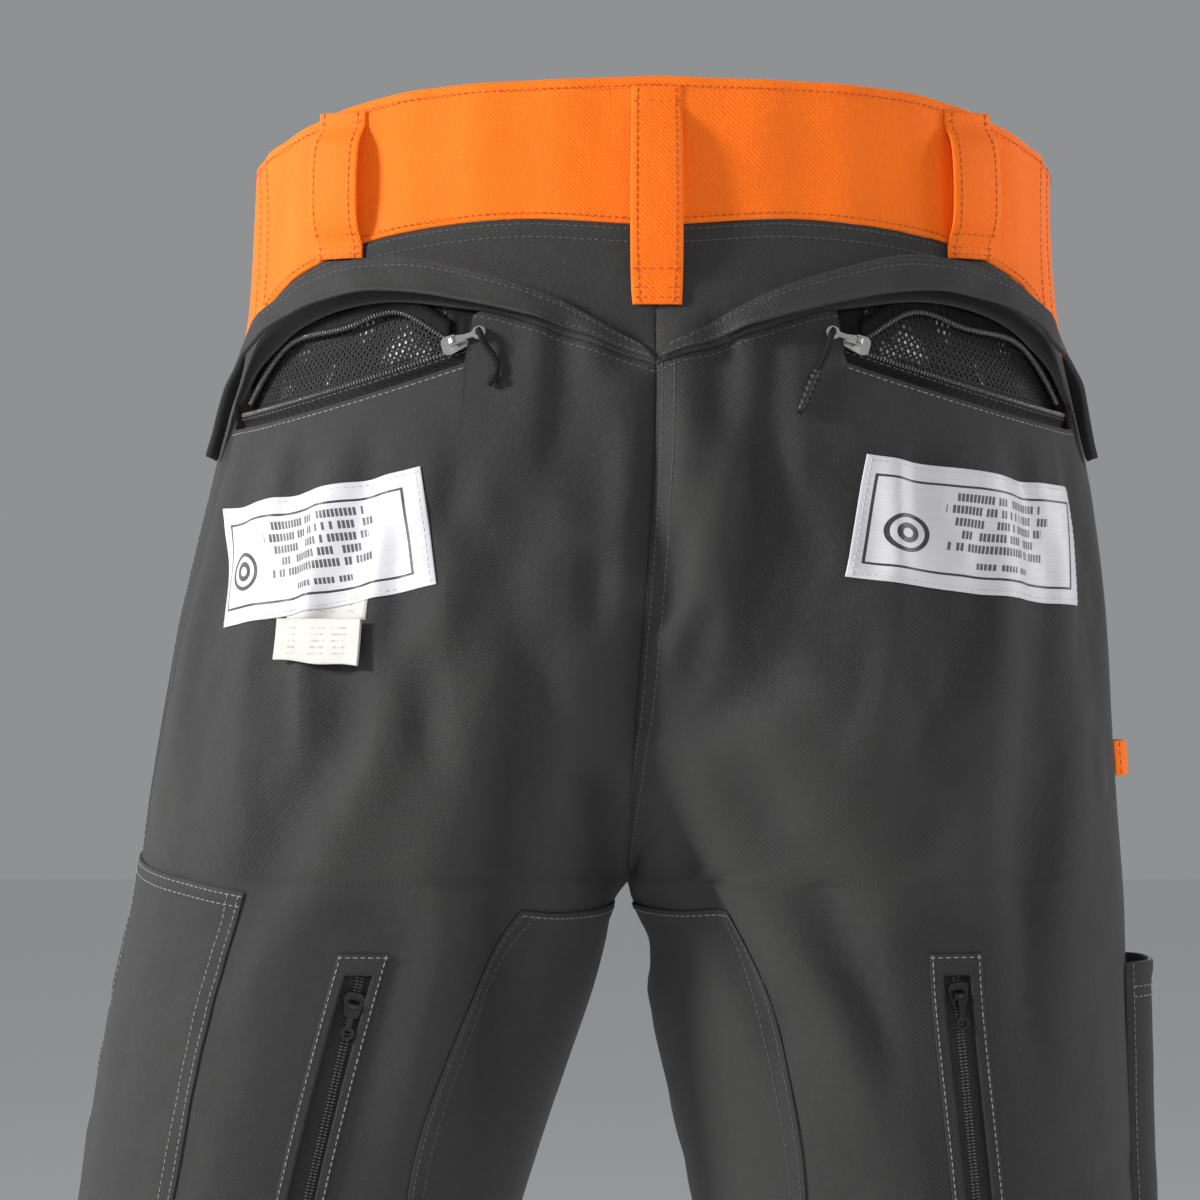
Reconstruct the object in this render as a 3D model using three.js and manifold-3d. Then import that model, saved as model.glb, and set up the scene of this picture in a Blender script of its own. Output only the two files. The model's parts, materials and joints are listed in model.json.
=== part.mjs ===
// Chainsaw protective trousers, standing open on their cuffs as if worn. Millimetres, +Z up, wearer facing +Y.
// Each side of the garment is one tube that runs from the waist to the cuff. Above the crotch the two tubes run
// into each other and are cut at the middle plane, which makes the seat seam; below it they are the two legs.
import * as THREE from "three";
import { mergeVertices } from "three/addons/utils/BufferGeometryUtils.js";
import Module from "manifold-3d";

const wasm = await Module();
wasm.setup();

// ---------------------------------------------------------------- driving dimensions
const INSEAM = 800; // crotch height
const BACK_RISE = 376; // crotch to the top of the waistband at the back
const KNEE_SEAM = 470; // height of the seam across the knee
const CUFF_HEIGHT = 30;
const LEAN = 12; // how far the hips stand to the wearer's right of the crotch

const FABRIC = 2; // outer cloth with its seam allowances
const PAD_THICKNESS = 5; // saw-stopping layers in the front of the leg
const LINING = 0.8;
const CUFF_THICKNESS = 3;
const TRIM = 1.2; // labels, patches and other sewn-on pieces
const SEAM_GAP = 0.3; // between two panels that meet edge to edge
const LAYER_GAP = 0.6; // between a layer and the next one inwards
const TAG_THICKNESS = 1.4;
const TRIM_GAP = 0.8; // between a sewn-on piece and the curved cloth under it

const LOOP_WIDTH = 27;
const LOOP_GAP = 7; // room for the belt under a loop
const LOOP_THICKNESS = 1.6;

const CHAIN_WIDTH = 2.2; // one row of zip coil, across the zip
const CHAIN_HEIGHT = 3.2;
const CHAIN_HALF_GAP = 1; // from the zip's middle to each row
const TAPE_THICKNESS = 0.8;
const TAPE_WIDTH = 13;
const TAPE_SHOWN = 6.5; // zip tape that shows between the coil and the cloth edge
const SLIDER_LENGTH = 12;
const SLIDER_WIDTH = 10;
const PLATE = 1.1; // slider plate
const SLIDER_CLEARANCE = 0.6; // slider plate to coil
const PIN_HEIGHT = 5.8; // pull's pin above the zip's middle
const PIN_RADIUS = 0.7;
const PIN_CLEARANCE = 0.25;
const EYE_RADIUS = 1.9;
const PULL_LENGTH = 13;
const PULL_THICKNESS = 1.6;
const CORD_DIAMETER = 3;

const TAG_SIZE = [45, 21];
const LEG_VENT_LENGTH = 230;
const LEG_VENT_WIDTH = 25;
const ZIP_SLOT = 13; // the slot in the cloth over a straight zip
const SLOT_END = 10; // from the end of a straight zip to the end of its slot
const POCKET_GAP = 9; // room inside the ruler pocket
const POCKET_SIZE = [64, 190];

const ORANGE = 0xff6a00;
const GREY = 0x3d3d3c;
const DARK = 0x2a2a2a;
const BLACK = 0x121212;
const WHITE = 0xe9e9ee;
const METAL = 0xb9bcc0;
const PALE = 0x9fa3a6;
const YELLOW = 0xd9cf7a;

// ---------------------------------------------------------------- the body that the cloth follows
const CHART_RISE = 376; // the rise and inseam that the chart below is drawn for
const CHART_INSEAM = 800;
const up = (height) => INSEAM + (height * BACK_RISE) / CHART_RISE; // a height above the crotch, as drawn
const leg = (height) => (height * INSEAM) / CHART_INSEAM; // a height up the leg, as drawn

// height, half-width, distance of the tube's middle from the garment's (left, right), depth behind and in front,
// and how far the tube's middle lies towards the front
const BODY_CHART = [
  [leg(0), 82, 284, 208, 80, 80, -8],
  [leg(320), 86, 225, 175, 84, 84, -5],
  [leg(480), 91, 195, 158, 88, 88, -3],
  [leg(648), 105, 160, 138, 103, 95, -7],
  [leg(736), 113, 138, 126, 113, 98, -9],
  [up(0), 118, 118, 118, 122, 100, -10],
  [up(70), 141, 88, 88, 140, 107, -7],
  [up(130), 158, 64, 64, 148, 111, -5],
  [up(199), 173, 36, 36, 143, 112, -5],
  [up(259), 184, 14, 14, 131, 111, -5],
  [up(308), 190, 4, 4, 122, 110, -5],
  [up(376), 193, 0, 0, 118, 110, -5],
];
const ROUNDNESS = 2.2; // exponent of the superellipse: 2 is an ellipse, more is squarer

// A smooth curve through rows of [where, value, ...], read at one column.
function through(rows, where, column) {
  let i = rows.findIndex((row) => row[0] > where) - 1;
  if (i < 0) i = where < rows[0][0] ? 0 : rows.length - 2;
  const slope = (k) => {
    const before = rows[Math.max(k - 1, 0)];
    const after = rows[Math.min(k + 1, rows.length - 1)];
    return (after[column] - before[column]) / (after[0] - before[0]);
  };
  const [low, high] = [rows[i], rows[i + 1]];
  const span = high[0] - low[0];
  const t = THREE.MathUtils.clamp((where - low[0]) / span, 0, 1);
  const [t2, t3] = [t * t, t * t * t];
  return (
    (2 * t3 - 3 * t2 + 1) * low[column] +
    (t3 - 2 * t2 + t) * span * slope(i) +
    (3 * t2 - 2 * t3) * high[column] +
    (t3 - t2) * span * slope(i + 1)
  );
}

const signedPower = (value, power) => Math.sign(value) * Math.abs(value) ** power;
const lean = (z) => LEAN * THREE.MathUtils.smoothstep(z, INSEAM, up(240));

// The tube's measures on one side (-1 left, 1 right) at a height.
function tubeAt(side, z) {
  return {
    half: through(BODY_CHART, z, 1),
    middle: through(BODY_CHART, z, side < 0 ? 2 : 3),
    back: through(BODY_CHART, z, 4),
    front: through(BODY_CHART, z, 5),
    y: through(BODY_CHART, z, 6),
  };
}

// A point on the tube's outside. The angle runs from the inside of the leg (0) round the back (a quarter turn)
// to the outer side (half a turn) and on round the front.
function onTube(side, z, angle) {
  const tube = tubeAt(side, z);
  const [cos, sin] = [Math.cos(angle), Math.sin(angle)];
  const out = tube.middle - tube.half * signedPower(cos, 2 / ROUNDNESS);
  const depth = sin > 0 ? tube.back : tube.front;
  const y = tube.y - depth * signedPower(sin, 2 / ROUNDNESS);
  return new THREE.Vector3(lean(z) + side * out, y, z);
}

function tubeNormal(side, z, angle) {
  const step = 0.02;
  const along = onTube(side, z, angle + step).sub(onTube(side, z, angle - step));
  const rising = onTube(side, z + 2, angle).sub(onTube(side, z - 2, angle));
  return along.cross(rising).normalize().multiplyScalar(side);
}

// The angle at which the tube meets the middle plane above the crotch, or the inside leg seam below it.
function innerAngle(side, z) {
  const tube = tubeAt(side, z);
  const share = Math.min(1, (tube.middle - SEAM_GAP / 2) / tube.half);
  return Math.max(Math.acos(signedPower(share, ROUNDNESS / 2)), SEAM_GAP / tube.half);
}

// A point on the cloth: u runs from the middle or inside leg seam (0) to the side seam (1), on the back or the
// front, and lift is the distance out from the cloth's outside.
function onCloth(side, face, u, z, lift = 0) {
  const inner = innerAngle(side, z);
  const sideGap = SEAM_GAP / 2 / tubeAt(side, z).back;
  const turn = inner + u * (Math.PI - sideGap - inner);
  const angle = face === "back" ? turn : 2 * Math.PI - turn;
  const point = onTube(side, z, angle).addScaledVector(tubeNormal(side, z, angle), lift);
  if (z > INSEAM) {
    const outward = side * (point.x - lean(z));
    point.x = lean(z) + side * Math.max(outward, SEAM_GAP / 2);
  }
  return point;
}

// u on the back or front at a distance across the garment from its middle line, seen from behind.
function acrossTo(side, face, distance, z, lift = 0) {
  let [low, high] = [0, 1];
  for (let i = 0; i < 30; i++) {
    const u = (low + high) / 2;
    if (side * (onCloth(side, face, u, z, lift).x - lean(z)) < distance) low = u;
    else high = u;
  }
  return low;
}

// How far u goes along the cloth for each millimetre.
function perMillimetre(side, face, u, z) {
  const from = Math.min(u, 0.99);
  return 0.01 / onCloth(side, face, from, z).distanceTo(onCloth(side, face, from + 0.01, z));
}

// ---------------------------------------------------------------- style lines, as heights above the crotch
const YOKE_SEAM = [
  [0, 240], [0.12, 255], [0.21, 264], [0.27, 267], [0.405, 271], [0.523, 268],
  [0.636, 260], [0.72, 250], [0.8, 240], [0.866, 228], [1, 219],
];
const BAND_SEAM = [[0, 306], [0.2, 309], [0.434, 302], [0.58, 292], [0.73, 278], [0.82, 263], [1, 243]];
const FRONT_BAND_SEAM = [[0, 262], [0.5, 254], [1, 243]];
const WAIST_TOP = [[0, 376], [0.4, 370], [0.75, 350], [1, 338]];
const FRONT_TOP = [[0, 318], [0.5, 326], [1, 338]];
const ZIP_LINE = [[0.285, 250], [0.52, 233], [0.866, 223]]; // the fixed half of the vent zip
const OPEN_ZIP_LINE = [[0.3, 254], [0.405, 268], [0.523, 261], [0.655, 257], [0.725, 250], [0.85, 228]];
const VENT_INNER = 0.262; // where the vent's mouth starts and ends
const VENT_OUTER = 0.885;
const height = (line, u) => up(through(line, u, 1));

// ---------------------------------------------------------------- shapes
function signedVolume(geometry) {
  const at = geometry.attributes.position;
  const [a, b, c] = [new THREE.Vector3(), new THREE.Vector3(), new THREE.Vector3()];
  let sum = 0;
  for (let i = 0; i < geometry.index.count; i += 3) {
    a.fromBufferAttribute(at, geometry.index.getX(i));
    b.fromBufferAttribute(at, geometry.index.getX(i + 1));
    c.fromBufferAttribute(at, geometry.index.getX(i + 2));
    sum += a.dot(b.cross(c)) / 6;
  }
  return sum;
}

function facingOut(geometry) {
  if (signedVolume(geometry) < 0) {
    const order = geometry.index.array;
    for (let i = 0; i < order.length; i += 3) [order[i], order[i + 1]] = [order[i + 1], order[i]];
  }
  return geometry;
}

// A box bent into a sheet of cloth: columns and rows are the values at which it is divided, and place gives the
// point for one of each and for the depth through the cloth, 0 at its inside and 1 at its outside.
function sheet(columns, rows, place) {
  const box = new THREE.BoxGeometry(1, 1, 1, columns.length - 1, rows.length - 1, 1);
  const at = box.attributes.position;
  for (let i = 0; i < at.count; i++) {
    const u = columns[Math.round((at.getX(i) + 0.5) * (columns.length - 1))];
    const v = rows[Math.round((at.getY(i) + 0.5) * (rows.length - 1))];
    const point = place(u, v, at.getZ(i) + 0.5);
    at.setXYZ(i, point.x, point.y, point.z);
  }
  return facingOut(box);
}

const spaced = (from, to, count) =>
  Array.from({ length: count + 1 }, (_, i) => from + ((to - from) * i) / count);

function toSolid(geometry) {
  const bare = geometry.clone();
  for (const name of Object.keys(bare.attributes)) if (name !== "position") bare.deleteAttribute(name);
  const merged = mergeVertices(bare, 1e-3);
  const [vertProperties, triVerts] = [merged.attributes.position.array, new Uint32Array(merged.index.array)];
  return new wasm.Manifold(new wasm.Mesh({ numProp: 3, vertProperties, triVerts }));
}

function toGeometry(solid) {
  const mesh = solid.getMesh();
  return new THREE.BufferGeometry()
    .setAttribute("position", new THREE.BufferAttribute(mesh.vertProperties, 3))
    .setIndex(new THREE.BufferAttribute(mesh.triVerts, 1));
}

const joined = (...shapes) => toGeometry(shapes.map(toSolid).reduce((all, next) => all.add(next)));
const cut = (shape, ...tools) =>
  toGeometry(tools.map(toSolid).reduce((rest, tool) => rest.subtract(tool), toSolid(shape)));

const block = (x, y, z) =>
  new THREE.BoxGeometry(x[1] - x[0], y[1] - y[0], z[1] - z[0]).translate(
    (x[0] + x[1]) / 2,
    (y[0] + y[1]) / 2,
    (z[0] + z[1]) / 2,
  );

// ---------------------------------------------------------------- the garment
const trousers = new THREE.Group();
const SIDES = [["left", -1], ["right", 1]];
const joints = {}; // the place and direction of each joint, for whoever moves the part
const cords = {}; // the points that each pull cord runs through

function add(name, geometry, color, { metalness = 0, roughness = 0.85 } = {}) {
  const mesh = new THREE.Mesh(geometry, new THREE.MeshStandardMaterial({ color, metalness, roughness }));
  mesh.name = name;
  trousers.add(mesh);
  return mesh;
}

// A layer of the garment between two lifts from the cloth's outside.
const layer = (side, face, columns, rows, inside, outside, heightAt = (u, z) => z) =>
  sheet(columns, rows, (u, v, w) =>
    onCloth(side, face, u, heightAt(u, v), inside + (outside - inside) * w),
  );

// The seat panel stops short of the open vent, where only the zip tape goes on.
function seatTop(side, u) {
  const seam = height(YOKE_SEAM, u) - SEAM_GAP;
  if (u < VENT_INNER || u > VENT_OUTER) return seam;
  return Math.min(seam, zipHeight(side, u) - TAPE_SHOWN);
}

const STEP = 0.012; // the vent's ends, in u
const SEAT_COLUMNS = [
  ...spaced(0, VENT_INNER - STEP, 3),
  ...spaced(VENT_INNER, VENT_OUTER, 8),
  VENT_OUTER + STEP,
  1,
];
const LEG_ROWS = [leg(540), leg(610), leg(680), leg(740), leg(785), up(0), up(8), up(26), up(62), up(108)];
const SEAT_ROWS = [...LEG_ROWS, up(158), up(200), Infinity];
const FRONT_ROWS = [...LEG_ROWS, up(158), Infinity];
const SHIN_ROWS = [CUFF_HEIGHT + LAYER_GAP, leg(180), leg(330), KNEE_SEAM - SEAM_GAP];
const FRONT_COLUMNS = spaced(0, 1, 8);

// A straight zip's own frame: X across it, Y up along it from its lower end, Z out of the cloth. Its origin is
// at the cloth's outside.
function straightFrame(low, high, outside) {
  const up = high.clone().sub(low).normalize();
  const across = new THREE.Vector3().crossVectors(up, outside).normalize();
  const out = new THREE.Vector3().crossVectors(across, up);
  return new THREE.Matrix4().makeBasis(across, up, out).setPosition(low);
}

const LEG_VENT_U = { left: 0.487, right: 0.57 };
const LEG_VENT_TOP = leg(766);
const LEG_VENT_FOOT = LEG_VENT_TOP - LEG_VENT_LENGTH;

function legVentFrame(name, side) {
  const at = (z, lift = 0) => onCloth(side, "back", LEG_VENT_U[name], z, lift);
  const middle = (LEG_VENT_TOP + LEG_VENT_FOOT) / 2;
  return straightFrame(at(LEG_VENT_FOOT), at(LEG_VENT_TOP), at(middle, 1).sub(at(middle)));
}

const FLY_FOOT = up(140);
const FLY_LENGTH = 108;
const FLY_WIDTH = 46;

function flyFrame() {
  const at = (z, lift = 0) => onCloth(1, "front", 0, z, lift).setX(lean(z));
  return straightFrame(at(FLY_FOOT), at(FLY_FOOT + FLY_LENGTH), new THREE.Vector3(0, 1, 0));
}

const slotIn = (frame, length) =>
  block([-ZIP_SLOT / 2, ZIP_SLOT / 2], [SLOT_END, length - SLOT_END], [-20, 20]).applyMatrix4(frame);

function panels(name, side) {
  const seat = layer(side, "back", SEAT_COLUMNS, [KNEE_SEAM, ...SEAT_ROWS], -FABRIC, 0, (u, z) =>
    Math.min(z, seatTop(side, u)),
  );
  add(`seat_panel_${name}`, cut(seat, slotIn(legVentFrame(name, side), LEG_VENT_LENGTH)), GREY);

  const thighFront = layer(
    side, "front", FRONT_COLUMNS, [KNEE_SEAM, ...FRONT_ROWS], -FABRIC, 0,
    (u, z) => Math.min(z, height(FRONT_BAND_SEAM, u) - SEAM_GAP),
  );
  add(`thigh_panel_${name}`, cut(thighFront, slotIn(flyFrame(), FLY_LENGTH)), GREY);

  add(`calf_panel_${name}`, layer(side, "back", FRONT_COLUMNS, SHIN_ROWS, -FABRIC, 0), GREY);
  add(`shin_panel_${name}`, layer(side, "front", FRONT_COLUMNS, SHIN_ROWS, -FABRIC, 0), GREY);

  const yoke = layer(side, "back", SEAT_COLUMNS, [0, 0.5, 1], -FABRIC, 0, (u, v) =>
    THREE.MathUtils.lerp(height(YOKE_SEAM, u), height(BAND_SEAM, u) - SEAM_GAP, v),
  );
  add(`yoke_${name}`, yoke, GREY);
}

// A ring round one leg, open by a seam's width at the inside leg.
const AROUND = [...FRONT_COLUMNS, ...FRONT_COLUMNS.map((u) => 2 - u).reverse().slice(1)];
const legRing = (side, rows, inside, outside, flat = false) =>
  sheet(AROUND, rows, (t, z, w) => {
    const face = t <= 1 ? "back" : "front";
    const point = onCloth(side, face, t <= 1 ? t : 2 - t, z, inside + (outside - inside) * w);
    return flat ? point.setZ(z) : point;
  });

function innerLayers(name, side) {
  const padOutside = -FABRIC - LAYER_GAP;
  const padRows = [...SHIN_ROWS, ...LEG_ROWS, up(158)].filter((z) => z > leg(100));
  const pad = layer(side, "front", FRONT_COLUMNS.slice(1), padRows, padOutside - PAD_THICKNESS, padOutside);
  add(`saw_stop_pad_${name}`, pad, YELLOW);

  const liningOutside = padOutside - PAD_THICKNESS - LAYER_GAP;
  const liningRows = [leg(50), ...SHIN_ROWS.slice(1), ...LEG_ROWS.filter((z) => z < leg(790))];
  add(`leg_lining_${name}`, legRing(side, liningRows, liningOutside - LINING, liningOutside), PALE);
  add(`cuff_${name}`, legRing(side, [0, CUFF_HEIGHT], -CUFF_THICKNESS, 0, true), DARK);
}

function waistband() {
  const around = [...SEAT_COLUMNS.map((u) => -u).reverse(), ...SEAT_COLUMNS.slice(1)];
  const place = (seam, top, face) => (s, v, w) => {
    const u = Math.abs(s);
    const side = s < 0 ? -1 : 1;
    const z = THREE.MathUtils.lerp(height(seam, u), height(top, u), v);
    const point = onCloth(side, face, Math.max(u, 0.0001), z, -FABRIC + (FABRIC + 0.6) * w);
    if (s === 0) point.x = lean(z);
    return point;
  };
  add("waistband_back", sheet(around, [0, 0.5, 1], place(BAND_SEAM, WAIST_TOP, "back")), ORANGE);
  for (const [name, side] of SIDES) {
    const front = sheet([0.002, ...FRONT_COLUMNS.slice(1)], [0, 0.5, 1], (u, v, w) =>
      place(FRONT_BAND_SEAM, FRONT_TOP, "front")(side * u, v, w),
    );
    add(`waistband_front_${name}`, front, ORANGE);
  }
}

// A strap that lies on the cloth at its two ends and stands off it between them.
function beltLoop(name, side, face, distance, low, high) {
  const steps = [0, 0.1, 0.2, 0.35, 0.65, 0.8, 0.9, 1];
  const rise = [0, 0, 0.75, 1, 1, 0.75, 0, 0];
  const middle = acrossTo(side, face, distance, up((low + high) / 2));
  const scale = perMillimetre(side, face, middle, up((low + high) / 2));
  const strap = sheet([-0.5, 0, 0.5], steps, (across, v, w) => {
    let u = middle + across * LOOP_WIDTH * scale;
    const here = u < 0 ? -side : side;
    u = Math.abs(u);
    const lift = TRIM_GAP + 0.6 + rise[steps.indexOf(v)] * LOOP_GAP + w * LOOP_THICKNESS;
    return onCloth(here, face, u, up(low + (high - low) * v), lift);
  });
  add(name, strap, ORANGE);
}

function beltLoops() {
  beltLoop("belt_loop_back_middle", 1, "back", 0.5, 268, 371);
  for (const [name, side] of SIDES) {
    beltLoop(`belt_loop_back_${name}`, side, "back", 148, 292, 362);
    beltLoop(`belt_loop_front_${name}`, side, "front", 118, 259, 322);
  }
}

// ---------------------------------------------------------------- zips
const CHAIN_OUTER = CHAIN_HALF_GAP + CHAIN_WIDTH;
const TAPE_FREE = SLIDER_WIDTH / 2 + 0.2; // how far across the tape stays clear for the slider
const TAPE_DEPTH = -FABRIC - LAYER_GAP - TAPE_THICKNESS / 2; // where it lies flat behind the cloth

// Half a zip, as a bar of coil along the edge of a tape. place gives the point at a step along the zip, a
// distance across it (away from its middle) and one out of it.
function zipHalf(steps, place, tapeWidth = TAPE_WIDTH) {
  const bar = (widths, height) =>
    sheet(steps, widths, (t, across, w) => place(t, across, (w - 0.5) * height));
  const coil = bar([CHAIN_HALF_GAP, CHAIN_OUTER], CHAIN_HEIGHT);
  const edge = CHAIN_HALF_GAP + tapeWidth;
  const bends = [TAPE_FREE, TAPE_SHOWN - 0.2].filter((across) => across < edge);
  const tape = bar([CHAIN_OUTER - 0.5, ...bends, edge], TAPE_THICKNESS);
  return joined(coil, tape);
}

// A slider about its own middle: X along the zip towards the open end, Y across it, Z outwards.
function sliderShape() {
  const inner = CHAIN_HEIGHT / 2 + SLIDER_CLEARANCE;
  const outer = inner + PLATE;
  const [half, wide] = [SLIDER_LENGTH / 2, SLIDER_WIDTH / 2];
  const plateOutline = new THREE.Shape()
    .moveTo(-half, -wide * 0.62)
    .lineTo(half * 0.4, -wide)
    .quadraticCurveTo(half, -wide, half, -wide * 0.35)
    .lineTo(half, wide * 0.35)
    .quadraticCurveTo(half, wide, half * 0.4, wide)
    .lineTo(-half, wide * 0.62)
    .closePath();
  const plate = (z) =>
    new THREE.ExtrudeGeometry(plateOutline, { depth: PLATE, bevelEnabled: false, curveSegments: 3 })
      .translate(0, 0, z);
  const post = block([half - 4, half - 0.6], [-0.55, 0.55], [-outer + 0.2, outer - 0.2]);
  const lug = (y) => block([-1.6, 1.6], y, [outer - 0.2, PIN_HEIGHT + PIN_RADIUS + 0.7]);
  const pin = new THREE.CylinderGeometry(PIN_RADIUS, PIN_RADIUS, 5, 8).translate(0, 0, PIN_HEIGHT);
  return joined(plate(-outer), plate(inner), post, lug([-2.7, -1.7]), lug([1.7, 2.7]), pin);
}

// The pull about its pin: an eye on the pin, a flat tab and a ring for the cord, pointing along -X.
function pullShape() {
  const outline = new THREE.Shape()
    .absarc(0, 0, EYE_RADIUS, -Math.PI / 2, Math.PI / 2, false)
    .lineTo(-PULL_LENGTH, EYE_RADIUS * 0.85)
    .lineTo(-PULL_LENGTH, -EYE_RADIUS * 0.85)
    .closePath();
  outline.holes.push(new THREE.Path().absarc(0, 0, PIN_RADIUS + PIN_CLEARANCE, 0, 2 * Math.PI, true));
  const width = 2.6; // between the slider's lugs
  const eye = new THREE.ExtrudeGeometry(outline, { depth: width, bevelEnabled: false, curveSegments: 8 })
    .translate(0, 0, -width / 2)
    .rotateX(Math.PI / 2);
  const flat = block([-PULL_LENGTH - 1, EYE_RADIUS + 1], [-5, 5], [-PULL_THICKNESS / 2, PULL_THICKNESS / 2]);
  const round = new THREE.CylinderGeometry(EYE_RADIUS, EYE_RADIUS, width, 12);
  const keep = toSolid(flat).add(toSolid(round)); // the tab is thinner than the eye
  const ring = new THREE.CylinderGeometry(3.4, 3.4, PULL_THICKNESS, 12)
    .rotateX(Math.PI / 2)
    .translate(-PULL_LENGTH, 0, 0);
  const hole = new THREE.CylinderGeometry(CORD_DIAMETER / 2 + 0.3, CORD_DIAMETER / 2 + 0.3, 8, 12)
    .rotateX(Math.PI / 2)
    .translate(-PULL_LENGTH - 0.2, 0, 0);
  return toGeometry(toSolid(eye).intersect(keep).add(toSolid(ring)).subtract(toSolid(hole)));
}

// The circle through three points on the vent's edge: its slider runs round this circle, so it turns about the
// circle's axis.
function circleThrough(a, b, c) {
  const [ab, ac] = [b.clone().sub(a), c.clone().sub(a)];
  const axis = ab.clone().cross(ac);
  const middle = a.clone().add(
    axis.clone().cross(ab).multiplyScalar(ac.lengthSq())
      .add(ac.clone().cross(axis).multiplyScalar(ab.lengthSq()))
      .divideScalar(2 * axis.lengthSq()),
  );
  axis.normalize();
  if (axis.z < 0) axis.negate();
  const start = a.clone().sub(middle);
  const radius = start.length();
  start.normalize();
  const ahead = axis.clone().cross(start);
  const end = c.clone().sub(middle);
  const sweep = Math.atan2(end.dot(ahead), end.dot(start));
  return { middle, axis, start, ahead, radius, sweep };
}

const ZIP_DEPTH = -2.9; // the vent zip's middle, below the cloth's outside
const ventArcs = {};

// The vent's slider runs round a circle, on a cone that leans as the cloth does.
function ventArc(side) {
  if (ventArcs[side]) return ventArcs[side];
  const arc = circleThrough(...ZIP_LINE.map(([u, z]) => onCloth(side, "back", u, up(z), ZIP_DEPTH)));
  const rayAt = (t) =>
    arc.start.clone().multiplyScalar(Math.cos(arc.sweep * t)).addScaledVector(arc.ahead, Math.sin(arc.sweep * t));
  const [u, z] = [ZIP_LINE[1][0], up(ZIP_LINE[1][1])];
  const rising = onCloth(side, "back", u, z + 5).sub(onCloth(side, "back", u, z - 5));
  const tilt = Math.atan2(-rising.dot(rayAt(0.45)), rising.dot(arc.axis));
  const across = (t) =>
    arc.axis.clone().multiplyScalar(Math.cos(tilt)).addScaledVector(rayAt(t), -Math.sin(tilt));
  const outwards = (t) =>
    rayAt(t).multiplyScalar(Math.cos(tilt)).addScaledVector(arc.axis, Math.sin(tilt));
  const at = (t, over, out) =>
    arc.middle
      .clone()
      .addScaledVector(rayAt(t), arc.radius)
      .addScaledVector(across(t), over)
      .addScaledVector(outwards(t), out);
  const turn = Math.sign(arc.sweep);
  const frameAt = (t) => {
    const ahead = arc.axis.clone().cross(rayAt(t)).multiplyScalar(turn);
    return new THREE.Matrix4()
      .makeBasis(ahead, across(t).multiplyScalar(turn), outwards(t))
      .setPosition(at(t, 0, 0));
  };
  const traced = spaced(-0.1, 1.1, 24).map((t) => {
    const point = at(t, 0, 0);
    return [acrossTo(side, "back", side * (point.x - lean(point.z)), point.z, ZIP_DEPTH), point.z];
  });
  ventArcs[side] = { ...arc, at, frameAt, traced };
  return ventArcs[side];
}

const zipHeight = (side, u) => through(ventArc(side).traced, u, 1);

function ventZip(name, side) {
  const arc = ventArc(side);
  const share = SLIDER_LENGTH / arc.radius / Math.abs(arc.sweep); // the slider's length, as a share of the arc
  // The tape leaves the cone beside the slider's path and ends flat behind the seat panel.
  const fixedHalf = zipHalf(spaced(-share * 0.5, 1, 14), (t, across, out) => {
    if (across <= TAPE_FREE) return arc.at(t, -across, out);
    const foot = arc.at(t, -across, 0);
    const u = acrossTo(side, "back", side * (foot.x - lean(foot.z)), foot.z, ZIP_DEPTH);
    return onCloth(side, "back", u, foot.z, TAPE_DEPTH + out);
  });
  add(`vent_zip_fixed_${name}`, fixedHalf, BLACK);

  // The free half leaves the slider at the zip's middle and bows up behind the yoke's edge.
  const freeHalf = zipHalf(
    spaced(0, 1, 14),
    (t, across, out) => {
      const u = THREE.MathUtils.lerp(OPEN_ZIP_LINE[0][0], OPEN_ZIP_LINE.at(-1)[0], t);
      const depth = -FABRIC - LAYER_GAP - CHAIN_HEIGHT / 2;
      return onCloth(side, "back", u, height(OPEN_ZIP_LINE, u) + across, depth + out);
    },
    8,
  );
  add(`vent_zip_free_${name}`, freeHalf, BLACK);

  const place = arc.frameAt(share * 0.05);
  const metal = { metalness: 0.9, roughness: 0.3 };
  add(`vent_slider_${name}`, sliderShape().applyMatrix4(place), METAL, metal);
  add(`vent_pull_${name}`, pullShape().translate(0, 0, PIN_HEIGHT).applyMatrix4(place), METAL, metal);
  joints[`vent_zip_${name}`] = {
    at: arc.middle,
    axis: arc.axis,
    degrees: THREE.MathUtils.radToDeg(arc.sweep * (0.86 - share)),
  };
  joints[`vent_pull_${name}`] = {
    at: new THREE.Vector3(0, 0, PIN_HEIGHT).applyMatrix4(place),
    axis: new THREE.Vector3(0, 1, 0).transformDirection(place),
  };
  pullCord(name, side, place);
}

// The cord comes out of the pull's ring, drops towards the middle seam and hangs against the seat.
const CORD_DROPS = { left: [5, 11, 17, 22, 25], right: [7, 15, 23, 31, 38] };
const CORD_DRIFTS = { left: [3, 7, 9, 8, 5], right: [3, 6, 10, 13, 16] };

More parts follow.
